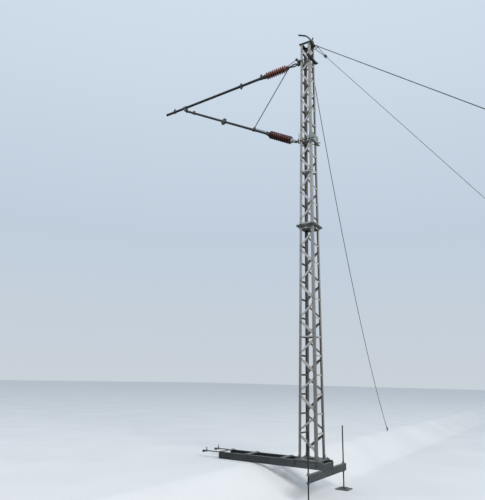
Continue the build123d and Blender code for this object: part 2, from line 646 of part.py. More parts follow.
def stay(top, top_axis, bot, bot_axis, r, vee, sag):
    d = (bot - top).normalized()
    d_h = Vector(d.X, d.Y, 0).normalized()
    ln_h = (bot - top).dot(d_h)
    m = (bot.Z - top.Z) / ln_h
    d_top = (d_h + Vector(0, 0, m - 4 * sag / ln_h)).normalized()
    d_bot = (d_h + Vector(0, 0, m + 4 * sag / ln_h)).normalized()
    t, tip = ring_at(top, top_axis, d_top)
    if vee:
        # bridle: shackle, spreader bar, two legs, joining block
        w = (Vector(0, 0, 1) - d * d.Z).normalized()
        c = top + d * 66
        j = top + d * 318
        f = t + rod(tip - d * 2, c, 9)
        f += rod(c - w * VEE_HALF, c + w * VEE_HALF, 9)
        for s in (-1, 1):
            f += rod(c + w * (s * (VEE_HALF - 8)), j + w * (s * 7), 7)
        pl = Plane(origin=j - d * 16, x_dir=w, z_dir=d)
        f += pl.location * (Pos(0, 0, 35) * Box(46, 34, 70))
        start = j + d * (54 + GAP)
    else:
        f = t + rod(tip - d_top * 2, tip + d_top * 62, 12)
        start = tip + d_top * (62 + GAP)
    b, btip = ring_at(bot, bot_axis, d_bot * -1)
    if sag:
        # spliced rope: ring and thimble only
        tb = b + rod(btip + d_bot * 2, btip - d_bot * 62, 12)
        stop = btip - d_bot * (62 + GAP)
        line, mid = sagging(start, stop, d_top, d_bot, r, 10)
        print("rope curve", [tuple(round(v, 1) for v in p) for p in (start, mid, stop)])
        return f, line, tb
    # turnbuckle: end rod, open body, end rod
    body0 = btip - d * 70
    body1 = btip - d * 330
    tb = b + rod(btip + d * 2, body0 - d * 1, 8)
    pl, ln = frame_at(body0, body1)
    tb += pl.location * (Pos(0, 0, 14) * Box(44, 24, 28))
    tb += pl.location * (Pos(0, 0, ln - 14) * Box(44, 24, 28))
    for s in (-1, 1):
        tb += pl.location * (Pos(s * 16, 0, ln / 2) * Box(10, 16, ln))
    tb += rod(body1 + d * 1, body1 - d * 60, 8)
    stop = body1 - d * (60 + GAP)
    print("wire", [tuple(round(v, 1) for v in p) for p in (start, stop)])
    return f, rod(start, stop, r), tb


VEE_HALF = 46.0
Y = Vector(0, 1, 0)
X = Vector(1, 0, 0)
STAKE_LEAN = 0.28


def anchor(e, d_h, axis, ground):
    """Stake leaning away from the pull, with a plate eye at its head."""
    foot = Vector(e.X, e.Y, ground) - d_h * ((e.Z - ground) * STAKE_LEAN) + d_h * 34
    headp = e + d_h * 34
    up = (headp - foot).normalized()
    st = rod(foot, headp + up * 26, 16)
    st += rod(headp + up * 26, headp + up * 36, 24)
    st = st & box(e.X - 900, e.X + 900, e.Y - 900, e.Y + 900, ground, ground + 1500)
    pl = Plane(origin=e, x_dir=d_h, z_dir=axis)
    plate_ = pl.location * (Pos(17, 0, 0) * Box(34, 44, 10)) + rod(e - axis * 5, e + axis * 5, 22)
    return (st + plate_) - rod(e - axis * 8, e + axis * 8, 12)


tops, bucks, anchors = [], [], []
for name, top, top_axis, e, r, vee, sag in (
        ("stay_wire_near", LUG_A, Y, STAY_A_END, 8.5, False, 0),
        ("stay_wire_far", LUG_B, Y, STAY_B_END, 5.5, True, 0),
        ("stay_rope_rear", LUG_D, X, STAY_D_END, 8.5, False, ROPE_SAG)):
    d_h = Vector(e.X - top.X, e.Y - top.Y, 0).normalized()
    side = Vector(-d_h.Y, d_h.X, 0)
    f, w, tb = stay(top, top_axis, e, side, r, vee, sag)
    out(name, w)
    tops.append(f)
    if sag:
        out("rope_end_ring", tb)
    else:
        bucks.append(tb)
    anchors.append(anchor(e, d_h, side, JACK_FLOOR))
out("stay_top_fittings", tops)
out("stay_turnbuckles", bucks)
out("ground_anchors", anchors)

print("half width at top", round(hw(Z_TOP), 2), "upper pivot", round(hw(Z_UP), 2), "lower pivot", round(hw(Z_LO), 2))
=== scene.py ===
import bmesh
import bpy
import json
import math
import random
from mathutils import Matrix, Vector


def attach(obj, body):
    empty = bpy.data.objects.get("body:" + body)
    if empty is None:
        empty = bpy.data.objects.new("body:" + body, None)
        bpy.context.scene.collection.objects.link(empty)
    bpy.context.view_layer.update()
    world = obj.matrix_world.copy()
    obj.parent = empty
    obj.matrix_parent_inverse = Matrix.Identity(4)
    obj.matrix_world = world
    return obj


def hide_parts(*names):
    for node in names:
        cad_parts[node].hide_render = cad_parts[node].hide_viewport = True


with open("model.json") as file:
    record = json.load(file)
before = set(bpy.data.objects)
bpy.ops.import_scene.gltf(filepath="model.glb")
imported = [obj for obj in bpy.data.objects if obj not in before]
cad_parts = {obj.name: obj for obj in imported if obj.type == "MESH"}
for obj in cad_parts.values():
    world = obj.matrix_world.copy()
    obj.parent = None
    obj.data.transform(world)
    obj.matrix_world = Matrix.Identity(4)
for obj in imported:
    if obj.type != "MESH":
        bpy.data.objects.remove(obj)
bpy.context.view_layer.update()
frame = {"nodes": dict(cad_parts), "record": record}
NODES = frame["nodes"]
scene = bpy.context.scene

# ---------------------------------------------------------------------------
# Camera: at the photograph's viewing angle, 485 x 500 frame
# ---------------------------------------------------------------------------
AZ, EL, ROLL = math.radians(32.2216), math.radians(-14.3447), math.radians(1.2692)
F_PX, CX, CY = 507.05, 243.0, 250.0
CAM_POS = Vector((3.9382, -8.6425, 1.4385))
back = Vector((math.sin(AZ) * math.cos(EL), -math.cos(AZ) * math.cos(EL), math.sin(EL)))
right = Vector((math.cos(AZ), math.sin(AZ), 0.0))
up = back.cross(right)
cam_r = right * math.cos(ROLL) + up * math.sin(ROLL)
cam_u = -right * math.sin(ROLL) + up * math.cos(ROLL)
cam_data = bpy.data.cameras.new("camera")
cam = bpy.data.objects.new("camera", cam_data)
scene.collection.objects.link(cam)
rot = Matrix((cam_r, cam_u, back)).transposed()
cam.matrix_world = Matrix.Translation(CAM_POS) @ rot.to_4x4()
cam_data.sensor_fit = "HORIZONTAL"
cam_data.sensor_width = 36.0
cam_data.lens = F_PX * 36.0 / 485.0
cam_data.shift_x = (242.5 - CX) / 485.0
cam_data.shift_y = (CY - 250.0) / 485.0
cam_data.clip_start, cam_data.clip_end = 0.05, 400.0
scene.camera = cam

# ---------------------------------------------------------------------------
# Plain pale floor with a low bank, and soft studio light
# ---------------------------------------------------------------------------
FLOOR_LOW = -0.441
FLOOR_HIGH = -0.002


def floor_z(x):
    a, b = -1.15, 0.10
    t = min(1.0, max(0.0, (x - a) / (b - a)))
    t = t * t * (3 - 2 * t)
    return FLOOR_HIGH + (FLOOR_LOW - FLOOR_HIGH) * t


def lin(*c):
    """sRGB 0..255 to linear."""
    out = []
    for v in c:
        v = v / 255.0
        out.append(v / 12.92 if v <= 0.04045 else ((v + 0.055) / 1.055) ** 2.4)
    return tuple(out) + (1.0,)


xs = [-120.0, -40.0, -12.0, -4.0, -2.0, -1.15]
n = 40
xs += [-1.15 + (0.10 + 1.15) * i / n for i in range(1, n)]
xs += [0.10, 1.0, 4.0, 12.0, 40.0, 120.0]
ys = [-60.0, -20.0, -6.0, 0.0, 6.0, 20.0, 60.0, 160.0]
verts = [(x, y, floor_z(x)) for x in xs for y in ys]
faces = []
for i in range(len(xs) - 1):
    for j in range(len(ys) - 1):
        a = i * len(ys) + j
        faces.append((a, a + len(ys), a + len(ys) + 1, a + 1))
fm = bpy.data.meshes.new("floor")
fm.from_pydata(verts, [], faces)
fm.update()
fm.shade_smooth()
floor = bpy.data.objects.new("floor", fm)
scene.collection.objects.link(floor)


def new_material(name):
    m = bpy.data.materials.new(name)
    m.use_nodes = True
    nt = m.node_tree
    for nd in list(nt.nodes):
        nt.nodes.remove(nd)
    return m, nt


def floor_material():
    m, nt = new_material("floor_pale")
    N, L = nt.nodes, nt.links
    outn = N.new("ShaderNodeOutputMaterial")
    b = N.new("ShaderNodeBsdfPrincipled")
    b.inputs["Roughness"].default_value = 0.9
    tc = N.new("ShaderNodeTexCoord")
    no = N.new("ShaderNodeTexNoise")
    no.inputs["Scale"].default_value = 0.7
    no.inputs["Detail"].default_value = 5.0
    ramp = N.new("ShaderNodeValToRGB")
    ramp.color_ramp.elements[0].position = 0.3
    ramp.color_ramp.elements[1].position = 0.7
    ramp.color_ramp.elements[0].color = lin(214, 214, 212)
    ramp.color_ramp.elements[1].color = lin(221, 221, 219)
    L.new(tc.outputs["Object"], no.inputs["Vector"])
    L.new(no.outputs["Fac"], ramp.inputs["Fac"])
    L.new(ramp.outputs["Color"], b.inputs["Base Color"])
    # pale where it is seen, but a weak reflector, so that undersides stay dark
    dark = N.new("ShaderNodeBsdfDiffuse")
    dark.inputs["Color"].default_value = lin(120, 118, 114)
    lp = N.new("ShaderNodeLightPath")
    mx = N.new("ShaderNodeMixShader")
    L.new(lp.outputs["Is Camera Ray"], mx.inputs[0])
    L.new(dark.outputs["BSDF"], mx.inputs[1])
    L.new(b.outputs["BSDF"], mx.inputs[2])
    L.new(mx.outputs[0], outn.inputs["Surface"])
    return m


fm.materials.append(floor_material())

world = bpy.data.worlds.new("soft_sky")
scene.world = world
world.use_nodes = True
wn, wl = world.node_tree.nodes, world.node_tree.links
for nd in list(wn):
    wn.remove(nd)
wout = wn.new("ShaderNodeOutputWorld")
wbg = wn.new("ShaderNodeBackground")
wtc = wn.new("ShaderNodeTexCoord")
wsep = wn.new("ShaderNodeSeparateXYZ")
wramp = wn.new("ShaderNodeValToRGB")
wramp.color_ramp.elements[0].position = 0.0
wramp.color_ramp.elements[0].color = lin(201, 209, 217)
wramp.color_ramp.elements[1].position = 0.75
wramp.color_ramp.elements[1].color = lin(213, 225, 239)
mid = wramp.color_ramp.elements.new(0.28)
mid.color = lin(192, 206, 221)
wl.new(wtc.outputs["Generated"], wsep.inputs["Vector"])
wl.new(wsep.outputs["Z"], wramp.inputs["Fac"])
wl.new(wramp.outputs["Color"], wbg.inputs["Color"])
wbg.inputs["Strength"].default_value = 1.0
wl.new(wbg.outputs["Background"], wout.inputs["Surface"])


def area_light(name, loc, target, size, power, colour=(1, 1, 1)):
    ld = bpy.data.lights.new(name, "AREA")
    ld.shape = "DISK"
    ld.size = size
    ld.energy = power
    ld.color = colour
    ob = bpy.data.objects.new(name, ld)
    scene.collection.objects.link(ob)
    ob.location = loc
    d = Vector(target) - Vector(loc)
    ob.rotation_mode = "QUATERNION"
    ob.rotation_quaternion = d.to_track_quat("-Z", "Y")
    return ob


area_light("key", (33.0, -17.6, 26.0), (0, 0, 4.0), 22.0, 13900, (1.0, 0.985, 0.96))
area_light("fill", (-9.0, -14.0, 12.0), (0, 0, 4.0), 12.0, 260, (0.95, 0.97, 1.0))

scene.view_settings.view_transform = "Standard"
scene.view_settings.look = "None"

# ---------------------------------------------------------------------------
# Materials
# ---------------------------------------------------------------------------


class Tree:
    """Small helper round a node tree."""

    def __init__(self, name):
        self.mat, self.nt = new_material(name)
        self.N, self.L = self.nt.nodes, self.nt.links
        self.out = self.N.new("ShaderNodeOutputMaterial")
        self.b = self.N.new("ShaderNodeBsdfPrincipled")
        self.L.new(self.b.outputs["BSDF"], self.out.inputs["Surface"])
        self.tc = self.N.new("ShaderNodeTexCoord")

    def node(self, kind, **inputs):
        nd = self.N.new(kind)
        for k, v in inputs.items():
            nd.inputs[k.replace("_", " ")].default_value = v
        return nd

    def link(self, a, b):
        self.L.new(a, b)

    def coords(self, scale=(1, 1, 1), rot=(0, 0, 0)):
        mp = self.N.new("ShaderNodeMapping")
        mp.inputs["Scale"].default_value = scale
        mp.inputs["Rotation"].default_value = rot
        self.link(self.tc.outputs["Object"], mp.inputs["Vector"])
        return mp.outputs["Vector"]

    def noise(self, scale, detail=4.0, rough=0.55, vec=None, distortion=0.0):
        nd = self.N.new("ShaderNodeTexNoise")
        nd.inputs["Scale"].default_value = scale
        nd.inputs["Detail"].default_value = detail
        nd.inputs["Roughness"].default_value = rough
        nd.inputs["Distortion"].default_value = distortion
        self.link(vec if vec is not None else self.tc.outputs["Object"], nd.inputs["Vector"])
        return nd.outputs["Fac"]

    def voronoi(self, scale, vec=None, feature="F1", out="Color"):
        nd = self.N.new("ShaderNodeTexVoronoi")
        nd.feature = feature
        nd.inputs["Scale"].default_value = scale
        self.link(vec if vec is not None else self.tc.outputs["Object"], nd.inputs["Vector"])
        return nd.outputs[out]

    def ramp(self, fac, *stops):
        nd = self.N.new("ShaderNodeValToRGB")
        cr = nd.color_ramp
        while len(cr.elements) < len(stops):
            cr.elements.new(0.5)
        for e, (p, c) in zip(cr.elements, stops):
            e.position = p
            e.color = c if len(c) == 4 else (*c, 1.0)
        self.link(fac, nd.inputs["Fac"])
        return nd.outputs["Color"]

    def rng(self, fac, a, b, lo=0.0, hi=1.0, smooth=True):
        nd = self.N.new("ShaderNodeMapRange")
        nd.interpolation_type = "SMOOTHSTEP" if smooth else "LINEAR"
        nd.inputs["From Min"].default_value = a
        nd.inputs["From Max"].default_value = b
        nd.inputs["To Min"].default_value = lo
        nd.inputs["To Max"].default_value = hi
        self.link(fac, nd.inputs["Value"])
        return nd.outputs["Result"]

    def mix(self, fac, a, b, blend="MIX"):
        nd = self.N.new("ShaderNodeMix")
        nd.data_type = "RGBA"
        nd.blend_type = blend
        nd.clamp_factor = True
        for sock, v in ((nd.inputs["Factor"], fac), (nd.inputs[6], a), (nd.inputs[7], b)):
            if hasattr(v, "is_linked") or hasattr(v, "links"):
                self.link(v, sock)
            else:
                sock.default_value = v
        return nd.outputs[2]

    def math(self, op, a, b=None, clamp=False):
        nd = self.N.new("ShaderNodeMath")
        nd.operation = op
        nd.use_clamp = clamp
        for i, v in enumerate((a, b)):
            if v is None:
                continue
            if hasattr(v, "links"):
                self.link(v, nd.inputs[i])
            else:
                nd.inputs[i].default_value = v
        return nd.outputs[0]

    def bump(self, height, strength, distance, normal=None):
        nd = self.N.new("ShaderNodeBump")
        nd.inputs["Strength"].default_value = strength
        nd.inputs["Distance"].default_value = distance
        self.link(height, nd.inputs["Height"])
        if normal is not None:
            self.link(normal, nd.inputs["Normal"])
        return nd.outputs["Normal"]

    def edges(self, radius=0.004):
        """Mask of outer edges, from the rounded normal."""
        bv = self.N.new("ShaderNodeBevel")
        bv.samples = 4
        bv.inputs["Radius"].default_value = radius
        ge = self.N.new("ShaderNodeNewGeometry")
        dt = self.N.new("ShaderNodeVectorMath")
        dt.operation = "DOT_PRODUCT"
        self.link(bv.outputs["Normal"], dt.inputs[0])
        self.link(ge.outputs["Normal"], dt.inputs[1])
        return self.rng(dt.outputs["Value"], 0.98, 0.80)


def metal(name, base, dark, light, rough=(0.42, 0.66), metallic=0.25, spangle=0.0, spangle_size=60.0,
          streaks=0.25, rust=0.0, dirt=0.25, dirt_col=(70, 64, 55), grain=0.15, edge=0.3,
          edge_col=None, up_lighten=0.0, inward_light_shade=None, inward_x_light_shade=None, low_darken=0.0, rim_shade=None, track_dirt=0.0):
    t = Tree(name)
    colour = t.ramp(t.noise(1.7, 6.0, 0.6), (0.30, lin(*dark)), (0.52, lin(*base)), (0.78, lin(*light)))
    # mottled weathering at hand scale
    mott = t.noise(14.0, 8.0, 0.65)
    colour = t.mix(t.rng(mott, 0.40, 0.68, 0.0, 0.35), colour, lin(*dark))
    if spangle > 0:
        cells = t.voronoi(spangle_size)
        sep = t.N.new("ShaderNodeSeparateColor")
        t.link(cells, sep.inputs[0])
        colour = t.mix(t.rng(sep.outputs[0], 0.0, 1.0, 0.0, spangle, smooth=False), colour, lin(*light))
    # rain streaks, long along Z
    st = t.noise(1.0, 5.0, 0.6, vec=t.coords((55, 55, 1.6)))
    colour = t.mix(t.rng(st, 0.52, 0.72, 0.0, streaks), colour, lin(*dirt_col))
    # grime in patches
    dn = t.noise(5.5, 9.0, 0.7, distortion=0.4)
    colour = t.mix(t.rng(dn, 0.55, 0.75, 0.0, dirt), colour, lin(*dirt_col))
    if low_darken > 0:
        # darker towards the bottom of the mast, fading out between 1.5 m and 3.9 m, in patches
        sx = t.N.new("ShaderNodeSeparateXYZ")
        t.link(t.tc.outputs["Object"], sx.inputs[0])
        hz = t.rng(sx.outputs["Z"], 3.9, 1.5)
        colour = t.mix(t.math("MULTIPLY", t.math("MULTIPLY", hz, low_darken), t.rng(dn, 0.3, 0.65, 0.6, 1.0)), colour, lin(106, 103, 96))
    if track_dirt > 0:
        # brake dust and oil, thicker towards the track
        tx = t.N.new("ShaderNodeSeparateXYZ")
        t.link(t.tc.outputs["Object"], tx.inputs[0])
        tm = t.math("MULTIPLY", t.rng(tx.outputs["X"], 0.1, -1.5), t.rng(dn, 0.3, 0.65, 0.65, 1.0))
        colour = t.mix(t.math("MULTIPLY", tm, track_dirt), colour, lin(36, 38, 38))
    if inward_light_shade is not None:
        # painted shade: faces that look towards the mast's own axis are darkened as if shaded, darker still where they
        # face along x; where the colours given are pale, the same mask paints light instead
        ge = t.N.new("ShaderNodeNewGeometry")
        flat = t.N.new("ShaderNodeVectorMath")
        flat.operation = "MULTIPLY"
        t.link(t.tc.outputs["Object"], flat.inputs[0])
        flat.inputs[1].default_value = (1.0, 1.0, 0.0)
        nrm = t.N.new("ShaderNodeVectorMath")
        nrm.operation = "NORMALIZE"
        t.link(flat.outputs[0], nrm.inputs[0])
        dt = t.N.new("ShaderNodeVectorMath")
        dt.operation = "DOT_PRODUCT"
        t.link(nrm.outputs[0], dt.inputs[0])
        t.link(ge.outputs["Normal"], dt.inputs[1])
        inward_paint_mask = t.rng(dt.outputs["Value"], -0.15, -0.55)
        inward_paint_mask = t.math("MULTIPLY", inward_paint_mask, t.rng(t.noise(9.0, 5.0), 0.2, 0.6, 0.55, 1.0))
        sn = t.N.new("ShaderNodeSeparateXYZ")
        t.link(ge.outputs["Normal"], sn.inputs[0])
        side = t.rng(t.math("ABSOLUTE", sn.outputs["X"]), 0.3, 0.7)
        colour = t.mix(inward_paint_mask, colour, t.mix(side, lin(*inward_light_shade), lin(*(inward_x_light_shade or inward_light_shade))))
    if rim_shade is not None:
        # painted shade: dark colour on the outer rims of the two flange plates
        zc, half, rim_shade_col = rim_shade
        oz = t.N.new("ShaderNodeSeparateXYZ")
        t.link(t.tc.outputs["Object"], oz.inputs[0])
        nz = t.N.new("ShaderNodeSeparateXYZ")
        t.link(t.N.new("ShaderNodeNewGeometry").outputs["Normal"], nz.inputs[0])
        dz = t.math("ABSOLUTE", t.math("SUBTRACT", oz.outputs["Z"], zc))
        rim_shade_mask = t.math("MULTIPLY", t.rng(dz, half + 0.002, half), t.rng(t.math("ABSOLUTE", nz.outputs["Z"]), 0.8, 0.4))
        rim_shade_mask = t.math("MULTIPLY", rim_shade_mask, t.rng(t.noise(24.0, 5.0), 0.3, 0.6, 0.7, 1.0))
        colour = t.mix(rim_shade_mask, colour, lin(*rim_shade_col))
    if rust > 0:
        rn = t.noise(22.0, 10.0, 0.72, distortion=0.8)
        rm = t.math("MULTIPLY", t.rng(rn, 0.60, 0.70), t.rng(t.noise(3.1, 3.0), 0.45, 0.6))
        rc = t.ramp(t.noise(60.0, 4.0), (0.35, lin(72, 42, 26)), (0.65, lin(126, 76, 44)))
        colour = t.mix(t.math("MULTIPLY", rm, rust), colour, rc)
        rust_mask = t.math("MULTIPLY", rm, rust)
    if up_lighten > 0:
        # lighter on upward-facing surfaces, in patches
        ge2 = t.N.new("ShaderNodeNewGeometry")
        sz = t.N.new("ShaderNodeSeparateXYZ")
        t.link(ge2.outputs["Normal"], sz.inputs[0])
        upward_mask = t.math("MULTIPLY", t.rng(sz.outputs["Z"], 0.5, 0.95), t.rng(t.noise(12.0, 6.0), 0.3, 0.6))
        colour = t.mix(t.math("MULTIPLY", upward_mask, up_lighten), colour, lin(168, 164, 154))
    if edge > 0:
        em = t.math("MULTIPLY", t.edges(), t.rng(t.noise(35.0, 4.0), 0.35, 0.6, 0.25, 1.0))
        colour = t.mix(t.math("MULTIPLY", em, edge), colour, lin(*(edge_col or light)))
    t.link(colour, t.b.inputs["Base Color"])
    rn2 = t.noise(26.0, 6.0, 0.6)
    r = t.rng(rn2, 0.3, 0.7, rough[0], rough[1])
    if rust > 0:
        r = t.math("ADD", r, t.math("MULTIPLY", rust_mask, 0.25), clamp=True)
    t.link(r, t.b.inputs["Roughness"])
    t.b.inputs["Metallic"].default_value = metallic
    h1 = t.noise(180.0, 6.0, 0.6)
    nb = t.bump(h1, grain, 0.0012)
    nb = t.bump(mott, 0.12, 0.004, nb)
    t.link(nb, t.b.inputs["Normal"])
    return t.mat


MATS = {}
# mast and lattice: the inward colours are painted shade on faces that look towards the mast's axis, darkest on x-facing
# faces
MATS["mast"] = metal("mast_metal", (158, 157, 153), (136, 134, 130), (180, 180, 177), rough=(0.50, 0.74), metallic=0.12,
                     spangle=0.20, spangle_size=90, streaks=0.18, rust=0.25, dirt=0.22, dirt_col=(104, 98, 90), inward_light_shade=(122, 118, 112),
                     inward_x_light_shade=(50, 47, 44), low_darken=0.85)
MATS["lattice"] = metal("lattice_metal", (190, 190, 186), (164, 163, 159), (212, 212, 209), rough=(0.48, 0.72), metallic=0.12,
                        spangle=0.22, spangle_size=90, streaks=0.15, rust=0.25, dirt=0.15, dirt_col=(112, 106, 98), inward_light_shade=(104, 100, 96),
                        inward_x_light_shade=(70, 66, 62), low_darken=0.2)
# flange: its plate rims get painted shade
MATS["flange"] = metal("flange_metal", (164, 168, 164), (134, 137, 134), (192, 196, 192), rough=(0.48, 0.72), metallic=0.15,
                       spangle=0.20, spangle_size=70, streaks=0.15, rust=0.5, dirt=0.35, dirt_col=(104, 98, 90), edge=0.25,
                       rim_shade=(4.335, 0.0182, (38, 40, 39)))
# lower bracket: pale inward colours paint light on the faces that look towards the mast's axis, which lie in shade
MATS["lower_bracket"] = metal("lower_bracket_painted_light", (126, 130, 126), (100, 103, 100), (158, 162, 158), rough=(0.48, 0.72), metallic=0.12,
                              spangle=0.20, spangle_size=70, streaks=0.15, rust=0.4, dirt=0.25, dirt_col=(92, 86, 78), edge=0.3,
                              inward_light_shade=(206, 210, 204), inward_x_light_shade=(206, 210, 204))
MATS["pad"] = metal("joint_pad_metal", (226, 224, 219), (200, 197, 192), (240, 239, 236), rough=(0.48, 0.7), metallic=0.08,
                    spangle=0.2, spangle_size=80, streaks=0.1, rust=0.1, dirt=0.1, dirt_col=(150, 146, 138), edge=0.2)
MATS["base"] = metal("base_paint", (76, 81, 81), (57, 61, 61), (102, 107, 106), rough=(0.50, 0.74), metallic=0.10,
                     spangle=0.12, spangle_size=70, streaks=0.2, rust=0.5, dirt=0.3, dirt_col=(62, 58, 52), edge=0.6, edge_col=(140, 144, 142), up_lighten=0.35, track_dirt=0.75)
MATS["plate"] = metal("plate_galv", (98, 101, 100), (78, 81, 80), (124, 127, 125), rough=(0.45, 0.68), metallic=0.15,
                      spangle=0.25, spangle_size=60, streaks=0.1, rust=0.45, dirt=0.3, dirt_col=(88, 83, 74), edge=0.35, up_lighten=0.1)
MATS["clamp"] = metal("clamp_steel", (74, 72, 68), (50, 48, 45), (104, 100, 94), rough=(0.5, 0.78), metallic=0.2,
                      streaks=0.1, rust=0.9, dirt=0.35, dirt_col=(60, 46, 34), edge=0.4, edge_col=(140, 136, 130))
MATS["black"] = metal("black_screw", (30, 30, 31), (18, 18, 19), (52, 51, 50), rough=(0.35, 0.6), metallic=0.35,
                      streaks=0.1, rust=0.35, dirt=0.3, dirt_col=(56, 48, 40), edge=0.3, edge_col=(88, 88, 88))
MATS["fastener"] = metal("fastener_zinc", (112, 112, 108), (80, 80, 77), (150, 150, 145), rough=(0.35, 0.6), metallic=0.45,
                         streaks=0.1, rust=0.6, dirt=0.3, dirt_col=(66, 58, 48), edge=0.4)
MATS["dark"] = metal("dark_steel", (58, 61, 59), (40, 42, 41), (86, 89, 86), rough=(0.45, 0.7), metallic=0.2,
                     streaks=0.15, rust=0.4, dirt=0.25, dirt_col=(44, 38, 32), edge=0.45, edge_col=(126, 129, 126))
MATS["tube"] = metal("tube_galv", (47, 53, 54), (33, 37, 38), (72, 80, 80), rough=(0.42, 0.64), metallic=0.25,
                     spangle=0.2, spangle_size=70, streaks=0.15, rust=0.2, dirt=0.25, dirt_col=(54, 54, 48), edge=0.3)
MATS["fitting"] = metal("tube_fitting", (76, 82, 78), (54, 59, 56), (108, 115, 110), rough=(0.45, 0.7), metallic=0.25,
                        streaks=0.1, rust=0.35, dirt=0.3, dirt_col=(48, 44, 38), edge=0.45, edge_col=(140, 146, 140), grain=0.4)
MATS["stay"] = metal("stay_steel", (124, 130, 134), (98, 103, 107), (152, 158, 161), rough=(0.40, 0.65), metallic=0.35,
                     streaks=0.1, rust=0.3, dirt=0.3, dirt_col=(52, 48, 42), edge=0.0)


def glaze(name="insulator_glaze", k=1.0, g=1.0):
    t = Tree(name)
    colour = t.ramp(t.noise(9.0, 6.0, 0.6), (0.3, lin(84 * k, 44 * k * g, 42 * k * g)), (0.55, lin(112 * k, 62 * k * g, 58 * k * g)),
                    (0.8, lin(134 * k, 82 * k * g, 76 * k * g)))
    streak = t.noise(1.0, 5.0, 0.6, vec=t.coords((40, 40, 40)))
    colour = t.mix(t.rng(streak, 0.5, 0.72, 0.0, 0.45), colour, lin(70 * k, 44 * k * g, 40 * k * g))
    # painted highlight with some dust: upward-facing surfaces lighter, in patches
    sz = t.N.new("ShaderNodeSeparateXYZ")
    ge = t.N.new("ShaderNodeNewGeometry")
    t.link(ge.outputs["Normal"], sz.inputs[0])
    upward_mask = t.math("MULTIPLY", t.rng(sz.outputs["Z"], 0.2, 0.9), t.rng(t.noise(18.0, 6.0), 0.3, 0.62, 0.1, 0.5))
    colour = t.mix(upward_mask, colour, lin(150 * k, 108 * k * g, 100 * k * g))
    t.link(colour, t.b.inputs["Base Color"])
    t.link(t.rng(t.noise(30.0, 5.0), 0.3, 0.7, 0.16, 0.42), t.b.inputs["Roughness"])
    t.b.inputs["Coat Weight"].default_value = 0.4
    t.b.inputs["Coat Roughness"].default_value = 0.12
    t.link(t.bump(t.noise(120.0, 4.0), 0.06, 0.001), t.b.inputs["Normal"])
    return t.mat


def fibre(name="rope_fibre", lo=(66, 52, 38), mid=(98, 80, 60), hi=(128, 108, 84)):
    t = Tree(name)
    colour = t.ramp(t.noise(60.0, 8.0, 0.7), (0.3, lin(*lo)), (0.55, lin(*mid)), (0.8, lin(*hi)))
    colour = t.mix(t.rng(t.noise(4.0, 4.0), 0.5, 0.7, 0.0, 0.5), colour, lin(58, 50, 42))
    t.link(colour, t.b.inputs["Base Color"])
    t.link(t.rng(t.noise(40.0, 5.0), 0.3, 0.7, 0.78, 0.95), t.b.inputs["Roughness"])
    t.b.inputs["Sheen Weight"].default_value = 0.25
    t.link(t.bump(t.noise(700.0, 5.0, 0.7), 0.5, 0.0012), t.b.inputs["Normal"])
    return t.mat


MATS["cap"] = metal("cap_galv", (150, 158, 152), (118, 126, 121), (184, 191, 186), rough=(0.45, 0.7), metallic=0.2,
                    spangle=0.2, spangle_size=70, streaks=0.1, rust=0.3, dirt=0.25, dirt_col=(92, 92, 84), edge=0.4)
MATS["glaze"] = glaze()
# painted shade: a darker copy of the glaze for the shaded lower insulator and the top insulator's mast-end cap
MATS["glaze2"] = glaze("insulator_glaze_painted_shade", 0.60, 0.70)
MATS["rope"] = fibre()
MATS["lashing"] = fibre("lashing_fibre", (46, 28, 26), (80, 67, 44), (110, 102, 66))

SLOT_MAT = {
    "base_paint": "base", "plate_galv": "plate", "clamp_steel": "clamp", "black_screw": "black", "fastener": "fastener",
    "mast_metal": "mast", "flange_metal": "flange", "lattice_metal": "lattice", "dark_steel": "dark", "tube_galv": "tube", "insulator_glaze": "glaze",
    "tube_fitting": "fitting", "stay_steel": "stay", "rope": "rope",
}
for sub in frame["record"]["subparts"]:
    ob = NODES[sub["node"]]
    mat = MATS[SLOT_MAT[sub["material_slot"]]]
    if not ob.material_slots:
        ob.data.materials.append(mat)
    if sub["node"] == "lower_bracket":
        mat = MATS["lower_bracket"]
    for s in ob.material_slots:
        s.material = mat

# rounded edges on the heavier plates and sections
for name, width in (("base_channel_near", 1.2), ("base_channel_far", 1.2), ("base_end_channel", 1.0), ("base_cross_plates", 0.8), ("field_beam", 1.5),
                    ("mast_foot_plate", 1.2), ("lower_flange", 1.2), ("upper_flange", 1.2), ("head_frame", 0.8), ("upper_bracket", 1.2), ("lower_bracket", 0.9),
                    ("rail_clamps", 0.8)):
    md = NODES[name].modifiers.new("edge", "BEVEL")
    md.width = width * 0.001
    md.segments = 2
    md.limit_method = "ANGLE"
    md.angle_limit = math.radians(50)

# ---------------------------------------------------------------------------
# Mesh tools: shapes are laid out in millimetres and scaled when a piece is made
# ---------------------------------------------------------------------------
rnd = random.Random(7)


def V(*p):
    return Vector(p)


def axes(d, ref=None):
    d = Vector(d).normalized()
    if ref is None:
        ref = (0, 0, 1) if abs(d.z) < 0.9 else (1, 0, 0)
    x = Vector(ref).cross(d).normalized()
    return x, d.cross(x), d


def frames(pts, closed=False):
    """Point, tangent and two carried normals along a path."""
    n = len(pts)
    tans = []
    for i in range(n):
        a = pts[(i + 1) % n] if closed else pts[min(i + 1, n - 1)]
        b = pts[i - 1] if (closed or i) else pts[0]
        tans.append((a - b).normalized())
    u = axes(tans[0])[0]
    u0 = u.copy()
    res = []
    for p, t in zip(pts, tans):
        u = (u - t * u.dot(t)).normalized()
        res.append([p, t, u.copy()])
    if closed:
        ue = (u - tans[0] * u.dot(tans[0])).normalized()
        turn = math.atan2(tans[0].dot(ue.cross(u0)), ue.dot(u0))
        for i, r in enumerate(res):
            r[2] = Matrix.Rotation(turn * i / n, 3, r[1]) @ r[2]
    return [(p, t, u, t.cross(u)) for p, t, u in res]


